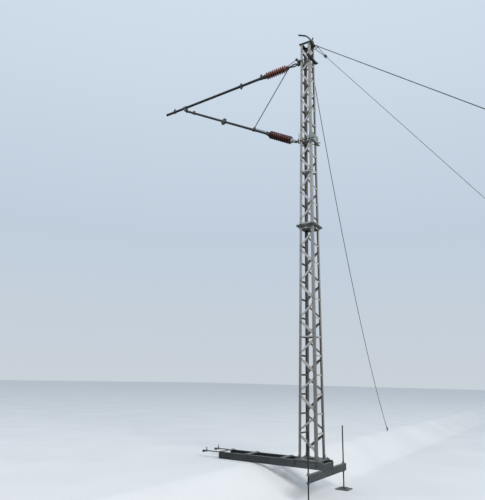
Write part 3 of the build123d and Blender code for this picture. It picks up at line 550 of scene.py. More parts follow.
def smooth(ctrl, per=6, closed=False):
    """Catmull-Rom points through the control points."""
    n = len(ctrl)
    pts = []
    for i in range(n if closed else n - 1):
        if closed:
            a, b, c, d = (ctrl[(i + k) % n] for k in (-1, 0, 1, 2))
        else:
            a, b = ctrl[max(i - 1, 0)], ctrl[i]
            c, d = ctrl[i + 1], ctrl[min(i + 2, n - 1)]
        for k in range(per):
            t = k / per
            pts.append(0.5 * ((2 * b) + (c - a) * t + (2 * a - 5 * b + 4 * c - d) * t * t
                              + (3 * b - a - 3 * c + d) * t ** 3))
    if not closed:
        pts.append(ctrl[-1].copy())
    return pts


class Build:
    def __init__(self):
        self.v, self.f = [], []

    def add(self, verts, faces):
        n = len(self.v)
        self.v += [tuple(p) for p in verts]
        self.f += [tuple(i + n for i in face) for face in faces]

    def rings(self, rings, close=False):
        m, k = len(rings[0]), len(rings)
        verts = [p for r in rings for p in r]
        faces = []
        for i in range(k if close else k - 1):
            a, b = i * m, ((i + 1) % k) * m
            for j in range(m):
                j2 = (j + 1) % m
                faces.append((a + j, a + j2, b + j2, b + j))
        if not close:
            faces.append(tuple(reversed(range(m))))
            faces.append(tuple(range((k - 1) * m, k * m)))
        self.add(verts, faces)

    def lathe(self, p, d, prof, n=24, close=False, phase=0.0, ref=None):
        """Turned shape about the line from p along d; prof holds (radius, along)."""
        p = Vector(p)
        x, y, z = axes(d, ref)
        ids, verts, faces = [], [], []
        for r, a in prof:
            if r <= 1e-6:
                ids.append([len(verts)])
                verts.append(p + z * a)
                continue
            ring = []
            for i in range(n):
                t = 2 * math.pi * i / n + phase
                ring.append(len(verts))
                verts.append(p + z * a + x * (r * math.cos(t)) + y * (r * math.sin(t)))
            ids.append(ring)
        pairs = list(zip(ids, ids[1:]))
        if close:
            pairs.append((ids[-1], ids[0]))
        for a, b in pairs:
            for i in range(n):
                j = (i + 1) % n
                if len(a) == 1:
                    faces.append((a[0], b[j], b[i]))
                elif len(b) == 1:
                    faces.append((a[i], a[j], b[0]))
                else:
                    faces.append((a[i], a[j], b[j], b[i]))
        if not close:
            if len(ids[0]) > 1:
                faces.append(tuple(reversed(ids[0])))
            if len(ids[-1]) > 1:
                faces.append(tuple(ids[-1]))
        self.add(verts, faces)

    def rod(self, a, b, r, n=12, ch=None):
        a, b = Vector(a), Vector(b)
        ln = (b - a).length
        c = min(r * 0.22, ln * 0.2) if ch is None else ch
        self.lathe(a, b - a, [(r - c, 0), (r, c), (r, ln - c), (r - c, ln)], n)

    def sleeve(self, a, b, r_in, r_out, n=32, lip=1.2):
        a, b = Vector(a), Vector(b)
        ln = (b - a).length
        self.lathe(a, b - a, [(r_in, 0), (r_out - lip, 0), (r_out, lip), (r_out, ln - lip), (r_out - lip, ln), (r_in, ln)], n, close=True)

    def hexa(self, p, d, r, h, spin=0.0):
        c = r * 0.13
        self.lathe(p, d, [(r * 0.97, 0), (r, c * 0.4), (r, h - c), (r * 0.86, h)], 6, phase=spin)

    def washer(self, p, d, r, t, n=18):
        self.lathe(p, d, [(r, 0), (r, t * 0.65), (r - t * 0.35, t)], n)

    def bolt(self, p, n, dia, grip, head=True, nut=True, big=1.0):
        """Bolt through a stack of plates: the head sits on the surface at p."""
        p, n = Vector(p), Vector(n).normalized()
        tw = dia * 0.17
        if head:
            self.washer(p, n, dia * big, tw)
            self.hexa(p + n * tw, n, dia * 0.93, dia * 0.64, rnd.uniform(0, 1.05))
            # raised ring on the head
            self.lathe(p + n * (tw + dia * 0.63), n, [(dia * 0.6, 0), (dia * 0.6, dia * 0.03), (dia * 0.42, dia * 0.05), (0, dia * 0.05)], 12)
        q = p - n * grip
        if nut:
            self.washer(q, -n, dia * big, tw)
            self.hexa(q - n * tw, -n, dia * 0.93, dia * 0.80, rnd.uniform(0, 1.05))
            self.rod(q - n * (tw + dia * 0.7), q - n * (tw + dia * 1.15), dia * 0.5, 12)

    def box(self, lo, hi):
        x0, y0, z0 = lo
        x1, y1, z1 = hi
        v = [(x, y, z) for x in (x0, x1) for y in (y0, y1) for z in (z0, z1)]
        self.add(v, [(0, 1, 3, 2), (4, 6, 7, 5), (0, 4, 5, 1), (2, 3, 7, 6), (0, 2, 6, 4), (1, 5, 7, 3)])

    def block(self, c, x, y, z, sx, sy, sz):
        """Box round c with its sides along the unit vectors x, y and z."""
        c = Vector(c)
        v = [c + x * (a * sx / 2) + y * (b * sy / 2) + z * (d * sz / 2) for a in (-1, 1) for b in (-1, 1) for d in (-1, 1)]
        self.add(v, [(0, 1, 3, 2), (4, 6, 7, 5), (0, 4, 5, 1), (2, 3, 7, 6), (0, 2, 6, 4), (1, 5, 7, 3)])

    def plate(self, pts, vec):
        m = len(pts)
        vec = Vector(vec)
        v = [Vector(p) for p in pts] + [Vector(p) + vec for p in pts]
        f = [tuple(reversed(range(m))), tuple(range(m, 2 * m))]
        f += [(i, (i + 1) % m, m + (i + 1) % m, m + i) for i in range(m)]
        self.add(v, f)

    def sweep(self, pts, r, n=8, closed=False, radii=None):
        res = []
        for i, (p, t, u, w) in enumerate(frames(pts, closed)):
            rr = radii[i] if radii else r
            res.append([p + u * (rr * math.cos(2 * math.pi * k / n)) + w * (rr * math.sin(2 * math.pi * k / n)) for k in range(n)])
        self.rings(res, close=closed)

    def weld(self, pts, r=3.0):
        """Weld bead along a run of points, rippled."""
        line = []
        for a, b in zip(pts, pts[1:]):
            a, b = Vector(a), Vector(b)
            k = max(2, int((b - a).length / 3.5))
            line += [a.lerp(b, i / k) for i in range(k)]
        line.append(Vector(pts[-1]))
        radii = [r * (1.0 + 0.16 * math.sin(i * 2.1) + rnd.uniform(-0.1, 0.1)) for i in range(len(line))]
        radii[0] = radii[-1] = r * 0.5
        self.sweep(line, r, 7, radii=radii)

    def laid(self, pts, R, lobes, lay, per):
        """Laid rope or strand: a lobed section that turns along the path."""
        s = math.sin(math.pi / lobes)
        rs = R * s / (1 + s)
        rc = R - rs
        sec = []
        m = lobes * per
        for i in range(m):
            a = 2 * math.pi * i / m
            loc = (a + math.pi / lobes) % (2 * math.pi / lobes) - math.pi / lobes
            q = rs * rs - (rc * math.sin(loc)) ** 2
            sec.append((a, rc * math.cos(loc) + math.sqrt(max(q, 0.0))))
        run, res, last = 0.0, [], None
        for p, t, u, w in frames(pts):
            if last is not None:
                run += (p - last).length
            last = p
            ph = 2 * math.pi * run / lay
            res.append([p + u * (r * math.cos(a + ph)) + w * (r * math.sin(a + ph)) for a, r in sec])
        self.rings(res)

    def thread(self, a, b, r, pitch, depth=None, n=20):
        """Round screw thread from a to b with plain chamfered ends."""
        a, b = Vector(a), Vector(b)
        ln = (b - a).length
        depth = pitch * 0.45 if depth is None else depth
        x, y, z = axes(b - a)
        prof = [(r - depth, 0.0), (r, 0.36), (r, 0.56), (r - depth, 0.92)]
        turns = int(ln / pitch) - 1
        off = (ln - turns * pitch) / 2
        verts, faces = [], []
        steps = turns * n
        for i in range(steps + 1):
            t = 2 * math.pi * i / n
            zz = off + pitch * (i / n - 0.5)
            c = x * math.cos(t) + y * math.sin(t)
            for rr, k in prof:
                verts.append(a + c * rr + z * (zz + k * pitch))
        m = len(prof)
        for i in range(steps):
            for k in range(m - 1):
                p = i * m + k
                faces.append((p, p + m, p + m + 1, p + 1))
        # join the last profile point to the first one a turn further on
        for i in range(steps - n):
            p, q = i * m + m - 1, (i + n) * m
            faces.append((p, p + m, q + m, q))
        self.add(verts, faces)
        e = pitch * 1.3
        self.rod(a, a + z * (off + e), r - 0.1, n)
        self.rod(b - z * (ln - turns * pitch - off + e), b, r - 0.1, n)


def piece(name, b, body, mat, bevel=0.0, angle=34.0, stands_for=()):
    me = bpy.data.meshes.new(name)
    me.from_pydata([(x * 0.001, y * 0.001, z * 0.001) for x, y, z in b.v], [], b.f)
    bm = bmesh.new()
    bm.from_mesh(me)
    bmesh.ops.recalc_face_normals(bm, faces=bm.faces)
    bm.to_mesh(me)
    bm.free()
    me.shade_smooth()
    me.set_sharp_from_angle(angle=math.radians(angle))
    me.materials.append(MATS[mat])
    ob = bpy.data.objects.new(name, me)
    scene.collection.objects.link(ob)
    if bevel:
        md = ob.modifiers.new("edge", "BEVEL")
        md.width = bevel * 0.001
        md.segments = 2
        md.limit_method = "ANGLE"
        md.angle_limit = math.radians(40)
    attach(ob, body)
    if stands_for:
        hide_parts(*stands_for)
    return ob


# ---------------------------------------------------------------------------
# Geometry shared with the construction (mm)
# ---------------------------------------------------------------------------
HW0, HW1, TAPER, Z0 = 175.0, 105.4, 8400.0, 120.0
K = (HW0 - HW1) / TAPER
Z_FOOT, Z_JOINT, Z_TOP = 138.0, 4335.0, 8387.0
LEG_T, BAR_T, GAP = 5.0, 3.0, 0.25
NEAR_LOW = (235.0, 890.0, 1545.0, 2226.0, 2885.0, 3580.0, 4240.0)
LEFT_LOW = (570.0, 1235.0, 1885.0, 2545.0, 3225.0, 3900.0)
NEAR_UP = (4760.0, 5466.0, 6100.0, 6757.0, 7376.0, 7960.0)
LEFT_UP = (4440.0, 5076.0, 5758.0, 6429.0, 7076.0, 7704.0, 8271.0)
RUNGS_LOW = (557.0, 883.0, 1213.0, 1547.0, 1886.0, 2226.0, 2567.0, 2914.0, 3256.0, 3602.0, 3944.0)
RUNGS_UP = (4781.0, 5122.0, 5466.0, 5808.0, 6149.0, 6490.0, 6830.0, 7170.0, 7510.0, 7850.0, 8190.0)
X, Y, Z = V(1, 0, 0), V(0, 1, 0), V(0, 0, 1)
FACES = {"-y": (X, -Y), "+y": (X, Y), "-x": (Y, -X), "+x": (Y, X)}


def hw(z):
    return HW0 - K * (z - Z0)


def on_face(face, u, z, out=0.0):
    along, n = FACES[face]
    return along * u + n * (hw(z) + out) + Z * z


def normal(face):
    n = FACES[face][1]
    return (n + Z * K).normalized()


def zig(near, left):
    """Ends of the diagonals on the near face, as (u, z) pairs of a bar."""
    pts = sorted([("n", z) for z in near] + [("l", z) for z in left], key=lambda q: q[1])
    bars = []
    for (a, za), (b, zb) in zip(pts, pts[1:]):
        if a == b:
            continue
        z0, z1 = za + 50.0, zb - 50.0
        bars.append((((hw(z0) - 28) * (1 if a == "n" else -1), z0), ((hw(z1) - 28) * (1 if b == "n" else -1), z1)))
    return bars


# ---------------------------------------------------------------------------
# Bolts at the ends of the bars
# ---------------------------------------------------------------------------
for part, near, left, rungs, level in (("lower", NEAR_LOW, LEFT_LOW, RUNGS_LOW, 2226.0), ("upper", NEAR_UP, LEFT_UP, RUNGS_UP, 5466.0)):
    b = Build()
    for face, m in (("-y", 1), ("+y", -1)):
        for bar in zig(near, left):
            for u, z in bar:
                b.bolt(on_face(face, u * m, z), normal(face), 12.0, LEG_T + GAP + BAR_T)
        for s in (-1, 1):
            b.bolt(on_face(face, s * (hw(level) - 31), level), normal(face), 10.0, LEG_T + GAP + BAR_T)
    piece(f"{part}_diagonal_bolts", b, "tower", "fastener")
    b = Build()
    for face in ("-x", "+x"):
        for z in rungs:
            hidden = 6070 < z < 6305 or 7915 < z < 8065
            for s in (-1, 1):
                b.bolt(on_face(face, s * (hw(z) - 31), z), normal(face), 10.0, LEG_T + GAP + BAR_T, head=not hidden)
    piece(f"{part}_rung_bolts", b, "tower", "fastener")

# welds where the plan crosses meet the chords, and the knot at their middle
b = Build()
for z in (2226.0, 5466.0):
    b.lathe(V(0, 0, z - 9), Z, [(20, 0), (22, 1.5), (22, 5), (20, 6.8)], 24)
    b.bolt(V(0, 0, z + 2), Z, 12.0, 10.5)
    for sx in (-1, 1):
        for sy in (-1, 1):
            e = hw(z) - 20.0 - 2.0
            c = V(sx * e, sy * e, z + 3)
            t = V(sx, -sy, 0).normalized()
            b.weld([c - t * 13, c + t * 13], 2.6)
piece("plan_cross_knots", b, "tower", "fastener")

# ---------------------------------------------------------------------------
# Section joint: flange bolts, gussets, pads on the lower leg, leg bolts, welds
# ---------------------------------------------------------------------------
b = Build()
row = (-96.0, -32.0, 32.0, 96.0)
for u in row:
    for x, y in ((u, -167.0), (u, 167.0), (-167.0, u), (167.0, u)):
        b.bolt(V(x, y, Z_JOINT + 18), Z, 12.0, 36.0)
for face in FACES:
    for z in (Z_JOINT + 41, Z_JOINT - 41):
        h = hw(Z_JOINT - 63 if z < Z_JOINT else Z_JOINT + 18) + GAP + 6
        along, n = FACES[face]
        for s in (-1, 1):
            for du in (14.0, 38.0):
                out = 5.0 if z < Z_JOINT else 0.0
                b.bolt(along * (s * (hw(z) - du)) + n * (h + out) + Z * z, n, 10.0, 11.0 + out)
piece("section_joint_bolts", b, "tower", "fastener")

b = Build()
for face in FACES:
    along, n = FACES[face]
    h_lo = hw(Z_JOINT - 63) + GAP + 6
    # gussets between the flange and its upright leg
    for u in (-64.0, 64.0):
        for sgn, h in ((-1, h_lo),):
            zb = Z_JOINT + sgn * 18
            c = along * (u - 3)
            b.plate([c + n * h + Z * zb, c + n * (h + 34) + Z * zb, c + n * (h + 34) + Z * (zb + sgn * 6),
                     c + n * (h + 6) + Z * (zb + sgn * 40), c + n * h + Z * (zb + sgn * 40)], along * 6)
piece("section_joint_gussets", b, "tower", "flange", bevel=0.8)

b = Build()
for face in FACES:
    along, n = FACES[face]
    h = hw(Z_JOINT - 63) + GAP + 6
    zc = Z_JOINT - 41
    for u, half in ((0.0, 26.0), (-(hw(zc) - 26), 25.0), (hw(zc) - 26, 25.0)):
        pts = []
        for k in range(24):
            a = 2 * math.pi * k / 24
            cu = max(-half, min(half, math.cos(a) * half * 1.12))
            cz = max(-17.0, min(17.0, math.sin(a) * 19.5))
            pts.append(along * (u + cu) + n * h + Z * (zc + cz))
        b.plate(pts, n * 5)
piece("section_joint_pads", b, "tower", "pad", bevel=0.8)

b = Build()
for sx in (-1, 1):
    for sy in (-1, 1):
        for z, r in ((Z_FOOT + 2.5, 4.0), (Z_JOINT + 20.5, 3.0), (Z_JOINT - 20.5, 3.0)):
            h = hw(z)
            b.weld([V(sx * (h - 47), sy * (h + 1.5), z), V(sx * (h + 1.5), sy * (h + 1.5), z), V(sx * (h + 1.5), sy * (h - 47), z)], r)
            b.weld([V(sx * (h - 47), sy * (h - 6.5), z), V(sx * (h - 6.5), sy * (h - 6.5), z), V(sx * (h - 6.5), sy * (h - 47), z)], r * 0.8)
        z = Z_TOP - 24.5
        h = hw(z)
        b.weld([V(sx * (h - 46), sy * (h - 6.2), z), V(sx * (h - 6.2), sy * (h - 6.2), z), V(sx * (h - 6.2), sy * (h - 46), z)], 2.6)
piece("chord_welds", b, "tower", "mast")

# ---------------------------------------------------------------------------
# Mast foot: cleats, hold-down bolts; base frame bolts
# ---------------------------------------------------------------------------
b, fb = Build(), Build()
for face in FACES:
    along, n = FACES[face]
    for s in (-1, 1):
        u = s * (hw(Z_FOOT) - 26)
        h0 = hw(Z_FOOT) + 0.5
        a0 = along * (u - 23)
        # vertical leg follows the taper, horizontal leg lies on the foot plate
        prof = [(h0, 0.0), (h0 + 54, 0.0), (h0 + 54, 6.0), (h0 + 10, 6.4), (h0 + 6.6, 9.5), (h0 + 6 - 66 * K, 70.0), (h0 - 70 * K, 70.0)]
        b.plate([a0 + n * p + Z * (Z_FOOT + q) for p, q in prof], along * 46)
        for q in (28.0, 52.0):
            fb.bolt(along * u + n * (h0 + 6 - q * K) + Z * (Z_FOOT + q), n, 12.0, 12.0)
        fb.bolt(along * u + n * (h0 + 33) + Z * (Z_FOOT + 6), Z, 14.0, 24.0)
piece("mast_foot_cleats", b, "tower", "mast", bevel=0.9)

for sx in (-1, 1):
    for sy in (-1, 1):
        fb.bolt(V(sx * 216, sy * 199, Z_FOOT), Z, 16.0, 26.0)
        # ladder to beam
        if sx > 0:
            for x in (254.0, 281.0):
                fb.bolt(V(x, sy * 197, 8), Z, 12.0, 16.0)
for x in (-1755.0, -1210.0, -500.0):
    for dx in (-22.0, 22.0):
        for y in (-200.0, 200.0):
            fb.bolt(V(x + dx, y, 128), Z, 12.0, 16.0)
piece("base_bolts", fb, "tower", "fastener")

b = Build()
# hold-down bolts at the foot plate's edge, with lugs on the channels' webs
for x in (188.0, -228.0 + 14):
    for s in (-1, 1):
        y = s * 229.0
        b.rod(V(x, y, 48), V(x, y, 162), 5.5, 14)
        b.hexa(V(x, y, Z_FOOT + 2), Z, 10.5, 9.0, 0.3)
        b.washer(V(x, y, Z_FOOT), Z, 11.5, 2.0)
        b.box((x - 14, min(s * 222, s * 238), 60), (x + 14, max(s * 222, s * 238), 74))
        b.hexa(V(x, y, 60), -Z, 10.5, 9.0, 0.7)
piece("hold_down_bolts", b, "tower", "dark", bevel=0.6)

# hook bolts that tie the ladder's end down to the beam
b = Build()
for s in (-1, 1):
    y = s * 200.0
    b.rod(V(309, y, -26), V(309, y, 96), 4.5, 16)
    b.hexa(V(309, y, 85), Z, 8.5, 7, 0.2)
    b.hexa(V(309, y, -19), -Z, 8.5, 7, 0.5)
    b.box((300.2, y - 9, -19), (319, y + 9, -13))
    b.box((296.2, y - 9, 79), (319, y + 9, 84.5))
    b.box((296.2, y - 9, 62), (300.5, y + 9, 79))
piece("beam_hook_bolts", b, "tower", "fitting", bevel=0.5)

b = Build()
for x in (-1755.0, -1210.0, -500.0):
    for sx in (-1, 1):
        for y in (-1, 1):
            b.weld([V(x + sx * 41.5, y * 180, 121.5), V(x + sx * 41.5, y * 219, 121.5)], 3.0)
for y in (-1, 1):
    b.weld([V(-232, y * 223, 119.0), V(-120, y * 223.4, 119.0)], 3.0)
    b.weld([V(-40, y * 223, 119.0), V(60, y * 223.4, 119.0)], 3.0)
    b.weld([V(110, y * 223, 119.0), V(168, y * 223.4, 119.0)], 3.0)
    b.weld([V(288.5, y * 214, 14), V(288.5, y * 214, 88)], 2.6)
    b.weld([V(-1800.8, y * 200 - 22, 103), V(-1800.8, y * 200 - 22, 24)], 2.6)
    b.weld([V(-1800.8, y * 200 + 22, 103), V(-1800.8, y * 200 + 22, 24)], 2.6)
    # stiffeners under the foot plate, inside each channel
    for x in (-150.0, 150.0):
        b.plate([V(x - 3, y * 215.5, 8.5), V(x - 3, y * 179, 8.5), V(x - 3, y * 179, 111.5), V(x - 3, y * 215.5, 111.5)], X * 6)
piece("base_welds", b, "tower", "base")

# rail clamps: washers, lock nuts, threads, heads
b = Build()
for s in (-1, 1):
    y = s * 200.0
    b.washer(V(-2105, y, 117.6), Z, 22, 3.2, 24)
    b.hexa(V(-2105, y, 134.3), Z, 16.6, 10, 0.4)
    b.thread(V(-2105, y, 143), V(-2105, y, 177), 10.4, 2.5, 1.0, 20)
    b.hexa(V(-2105, y, 104), -Z, 17, 11, 0.2)
    b.lathe(V(-2105, y, 93.4), -Z, [(10.4, 0), (10.4, 3), (8, 6)], 20)
    for x in (-2172.0, -2160.0):
        b.bolt(V(x, y, 118), Z, 7.0, 14.0, nut=False)
piece("rail_clamp_bolts", b, "tower", "cap")

# ---------------------------------------------------------------------------
# Jacks: threaded screws, foot ribs, lock nuts on the main nuts
# ---------------------------------------------------------------------------
JACK_YS = (-722.0, 790.0)
for y, side in zip(JACK_YS, ("near", "far")):
    x = 262.0
    b = Build()
    b.thread(V(x, y, -426), V(x, y, 655), 12.0, 6.0, 1.5, 20)
    piece(f"jack_thread_{side}", b, f"jack_{side}", "black", stands_for=(f"jack_screw_{side}",))
    b = Build()
    for k in range(4):
        a = math.pi / 4 + k * math.pi / 2
        d = V(math.cos(a), math.sin(a), 0)
        t = V(-math.sin(a), math.cos(a), 0)
        c = V(x, y, 0) - t * 4
        b.plate([c + d * 23 + Z * -426, c + d * 118 + Z * -426, c + d * 118 + Z * -420, c + d * 34 + Z * -398, c + d * 23 + Z * -398], t * 8)
    w = [V(x + 26 * math.cos(a), y + 26 * math.sin(a), -424) for a in [2 * math.pi * i / 24 for i in range(25)]]
    b.weld(w, 3.0)
    piece(f"jack_foot_ribs_{side}", b, f"jack_{side}", "plate", bevel=0.7)
b = Build()
for y in JACK_YS:
    for z, d in ((22.0, 1), (-142.0, -1)):
        # lock nut on each main nut
        zz = z * 1.0
        b.lathe(V(262, y, zz), Z * d, [(12.3, 0), (20.5, 0), (20.5, 8), (18.5, 10), (12.3, 10)], 6, close=True, phase=0.35)
piece("jack_lock_nuts", b, "tower", "fastener")

# ---------------------------------------------------------------------------
# Insulators
# ---------------------------------------------------------------------------
AX = -210.0
T0, T1 = V(AX - 62, 0, 8010), V(-3838, 0, 7800)
C0, C1 = V(AX - 62, 0, 6205), V(-3225, 0, 7742)
TD, CD = (T1 - T0).normalized(), (C1 - C0).normalized()
TU, CU = V(-TD.z, 0, TD.x), V(-CD.z, 0, CD.x)
TU = TU if TU.z > 0 else -TU
CU = CU if CU.z > 0 else -CU


def at_t(s):
    return T0 + TD * s


def at_c(s):
    return C0 + CD * s


def insulator(p0, d, ln, core, shed, n):
    b = Build()
    pitch = ln / n
    prof = [(core - 6, 0.0), (core - 1, 0.6)]
    for i in range(n):
        a = i * pitch
        for r, k in ((core, 0.07), (core + 1.5, 0.16), (core + 7, 0.235), (shed - 12, 0.315), (shed - 3.5, 0.365), (shed - 0.6, 0.405),
                     (shed, 0.445), (shed - 0.9, 0.49), (shed - 4.5, 0.53), (shed - 15, 0.59), (core + 12, 0.66), (core + 4, 0.735), (core + 0.8, 0.84), (core, 0.93)):
            prof.append((r, a + pitch * k))
    prof += [(core - 1, ln - 0.6), (core - 6, ln)]
    b.lathe(p0, d, prof, 56)
    return b


piece("top_insulator_sheds", insulator(at_t(225), TD, 502.0, 44.0, 80.0, 10), "cantilever", "glaze",
      angle=60, stands_for=("top_insulator",))
piece("inclined_insulator_sheds", insulator(at_c(127), CD, 570.0, 46.0, 84.0, 10), "cantilever", "glaze2",
      angle=60, stands_for=("inclined_insulator",))

for name, mat, p, d, r, ln in (("top_cap_mast", "glaze2", at_t(175), TD, 36.2, 49), ("top_cap_tube", "fitting", at_t(727 + 52), -TD, 37.2, 51),
                               ("inclined_cap_mast", "cap", at_c(83), CD, 38.2, 43), ("inclined_cap_tube", "fitting", at_c(697 + 52), -CD, 36.2, 51)):
    b = Build()
    prof = [(r, 2), (r + 4, 3), (r + 9, 9), (r + 10, 15), (r + 10, ln - 12), (r + 8, ln - 9), (r + 8, ln - 4), (r + 6, ln - 1), (r, ln - 1)]
    b.lathe(p, d, prof, 40, close=True)
    x, y, z = axes(d)
    for k in range(6):
        a = 2 * math.pi * k / 6 + 0.3
        n = x * math.cos(a) + y * math.sin(a)
        b.hexa(p + d * (ln * 0.5) + n * (r + 9.5), n, 6.5, 5, 0.1)
    piece(name, b, "cantilever", mat)
# turned shank between the lower cap and the swivel eye
b = Build()
b.lathe(at_c(7), CD, [(28.2, 0), (29.6, 0), (30.4, 1.5), (30.4, 17), (29.0, 20), (29.0, 52), (30.6, 60), (35, 68), (36, 72), (36, 75.5), (28.2, 75.5)], 40, close=True)
piece("inclined_shank_collar", b, "cantilever", "cap")


# ---------------------------------------------------------------------------
# Tube fittings: clamp bolts, set screws, knuckle pin, socket bands
# ---------------------------------------------------------------------------
def cross_bolt(b, q, half, dia=16.0, lug=13.0):
    for s in (-1, 1):
        b.washer(q + Y * (s * lug), Y * s, dia * 0.95, 2.2)
        b.hexa(q + Y * (s * (lug + 2.2)), Y * s, dia * 0.86, dia * (0.6 if s < 0 else 0.72), rnd.uniform(0, 1))


b = Build()
for p, up, r_out, post, half, ln in (
        (at_t((-3587 - T0.x) / TD.x), TU, 36, 30, 26, 56), (at_t((-1652 - T0.x) / TD.x), TU, 37, 26, 30, 60),
        (at_t((-1652 - T0.x) / TD.x), -TU, 37, 40, 26, 60), (at_t((-1125 - T0.x) / TD.x), TU, 37, 46, 30, 56),
        (at_c((-2993 - C0.x) / CD.x), CU, 33, 22, 28, 60), (at_c((-2102 - C0.x) / CD.x), CU, 38, 40, 34, 110),
        (at_c((-2102 - C0.x) / CD.x), -CU, 38, 44, 34, 110), (at_c((-1300 - C0.x) / CD.x), CU, 33, 36, 20, 56)):
    q = p + up * (r_out + post * 0.45)
    cross_bolt(b, q, half)
    # raised bands round the clamp
    d = TD if abs(p.z - (T0 + TD * ((p.x - T0.x) / TD.x)).z) < 1 else CD
    for e in (-ln / 2 + 6, ln / 2 - 6):
        b.sleeve(p + d * (e - 5), p + d * (e + 5), r_out - 0.5, r_out + 2.6, 36, 0.8)
# set screws in the tube sockets
for p, d, r in ((at_t(727 + 78), TD, 37), (at_t(727 + 62), TD, 37), (at_c(697 + 74), CD, 36), (at_c(697 + 58), CD, 36)):
    x, y, z = axes(d)
    for k in range(2):
        a = math.pi * k + 0.5
        n = x * math.cos(a) + y * math.sin(a)
        b.hexa(p + n * (r - 0.5), n, 8.5, 8, 0.2)
# knuckle pin: head and nut, each on a washer
for s in (-1, 1):
    b.washer(V(C1.x, s * 37.2, C1.z), Y * s, 19, 3, 24)
    b.hexa(V(C1.x, s * 40.2, C1.z), Y * s, 16.5, 9, 0.3)
b.sleeve(at_t((-3262 - T0.x) / TD.x - 45), at_t((-3262 - T0.x) / TD.x - 35), 39.5, 43, 36)
b.sleeve(at_t((-3262 - T0.x) / TD.x + 35), at_t((-3262 - T0.x) / TD.x + 45), 39.5, 43, 36)
piece("tube_fitting_bolts", b, "cantilever", "fitting")

# brackets: weld beads at the ears and blocks, split pins, lock nuts on the tie rods
b = Build()
UPH, LOH = hw(7931.0) + GAP, hw(6081.0) + GAP
for zc, hb, deep, z0, z1 in ((8010.0, UPH, 34.0, 7950.0, 8050.0), (6205.0, LOH, 8.0, 6155.0, 6255.0)):
    for s in (-1, 1):
        for zz in (zc + s * 20.5, zc + s * 35.5):
            b.weld([V(-hb - 35, -25, zz), V(-hb - 35, 25, zz)], 2.6)
        if deep < 34:
            b.weld([V(-hb - deep - 1, s * 46, z0 + 3), V(-hb - deep - 1, s * 46, z1 - 3)], 3.2)
        else:
            b.weld([V(-hb - 1.5, s * 46, 7998), V(-hb - 33, s * 46, 7998)], 3.0)
            b.weld([V(-hb - 33, s * 46, 7998), V(-hb - 33, s * 46, 8048)], 1.5)
    b.rod(V(AX, -23.5, zc - 41), V(AX, 23.5, zc - 41), 2.4, 8)
for rods, hb, front, deep in ((((-UPH - 20, 7970.0), (UPH + 20, 7979.0)), UPH, 34.0, 50.0), (((-LOH - 20, 6136.0), (LOH + 20, 6136.0)), LOH, 8.0, 8.0)):
    for y, z in rods:
        for x, d in ((-hb - front - 13.4, -X), (hb + deep + 13.4, X)):
            b.hexa(V(x, y, z), d, 13.5, 8, 0.4)
piece("bracket_trim", b, "tower", "dark")


# ---------------------------------------------------------------------------
# Stays: stranded wires, laid rope, wire grips, turnbuckle threads
# ---------------------------------------------------------------------------
def straight(p0, p1, step):
    n = max(2, int((p1 - p0).length / step))
    return [p0.lerp(p1, i / n) for i in range(n + 1)]


A0, A1 = V(219.7, -51.1, 8272.9), V(9241.3, -2670.6, 90.0)
B0, B1 = V(371.6, 157.0, 8065.3), V(6883.9, 3623.7, 122.3)
for name, p0, p1, R, node in (("near", A0, A1, 8.5, "stay_wire_near"), ("far", B0, B1, 5.5, "stay_wire_far")):
    b = Build()
    b.laid(straight(p0, p1, R * 1.05), R, 6, R * 24, 4)
    piece(f"stay_strand_{name}", b, "tower", "stay", angle=80, stands_for=(node,))

b = Build()
for p0, p1, R, tail in ((A1, A0, 8.5, 330.0), (B1, B0, 5.5, 260.0)):
    d = (p1 - p0).normalized()
    side, upv, _ = axes(d)
    o = upv * (2 * R + 0.6)
    # folded-back tail of the wire
    b.laid([p0 + d * 8 + o * 0.9] + straight(p0 + d * 22 + o, p0 + d * tail + o, R * 1.05), R * 0.97, 6, R * 24, 4)
    # binding wire at the tail's end
    for k in range(7):
        c = p0 + d * (tail - 34 + k * 3.2) + o * 0.5
        loop = []
        for i in range(24):
            a = 2 * math.pi * i / 24
            e = upv * (math.sin(a) * (2 * R + 1.6)) + side * (math.cos(a) * (R + 1.4))
            loop.append(c + e)
        b.sweep(loop, 1.5, 6, closed=True)
    for s in (70.0, 145.0, 220.0):
        if s > tail - 60:
            continue
        c = p0 + d * s
        base = c - upv * (R + 3.5)
        b.block(base, side, upv, d, 4 * R + 14, 11, 24)
        ring = []
        for i in range(17):
            a = math.pi * i / 16
            ring.append(c + o + side * (math.cos(a) * (R + 3.2)) + upv * (math.sin(a) * (R + 3.2)))
        legs = [ring[0] - upv * (2 * R + 24)] + ring + [ring[-1] - upv * (2 * R + 24)]
        b.sweep(legs, 3.1, 10)
        for sg in (-1, 1):
            b.hexa(base - upv * 5.5 + side * (sg * (R + 3.2)), -upv, 6.6, 6.0, 0.3)
piece("wire_grips", b, "tower", "fastener")
# pressed sleeve at the head end of the heavier wire
b = Build()
b.lathe(A0, A1 - A0, [(11.5, 0), (13, 1.5), (13, 86), (12.2, 92), (9.6, 140), (8.2, 142)], 28)
for k in range(5):
    b.lathe(A0 + (A1 - A0).normalized() * (12 + 15 * k), A1 - A0, [(12.5, 0), (13.6, 1.2), (13.6, 6.8), (12.5, 8)], 28)
piece("stay_sleeve_near", b, "tower", "stay")

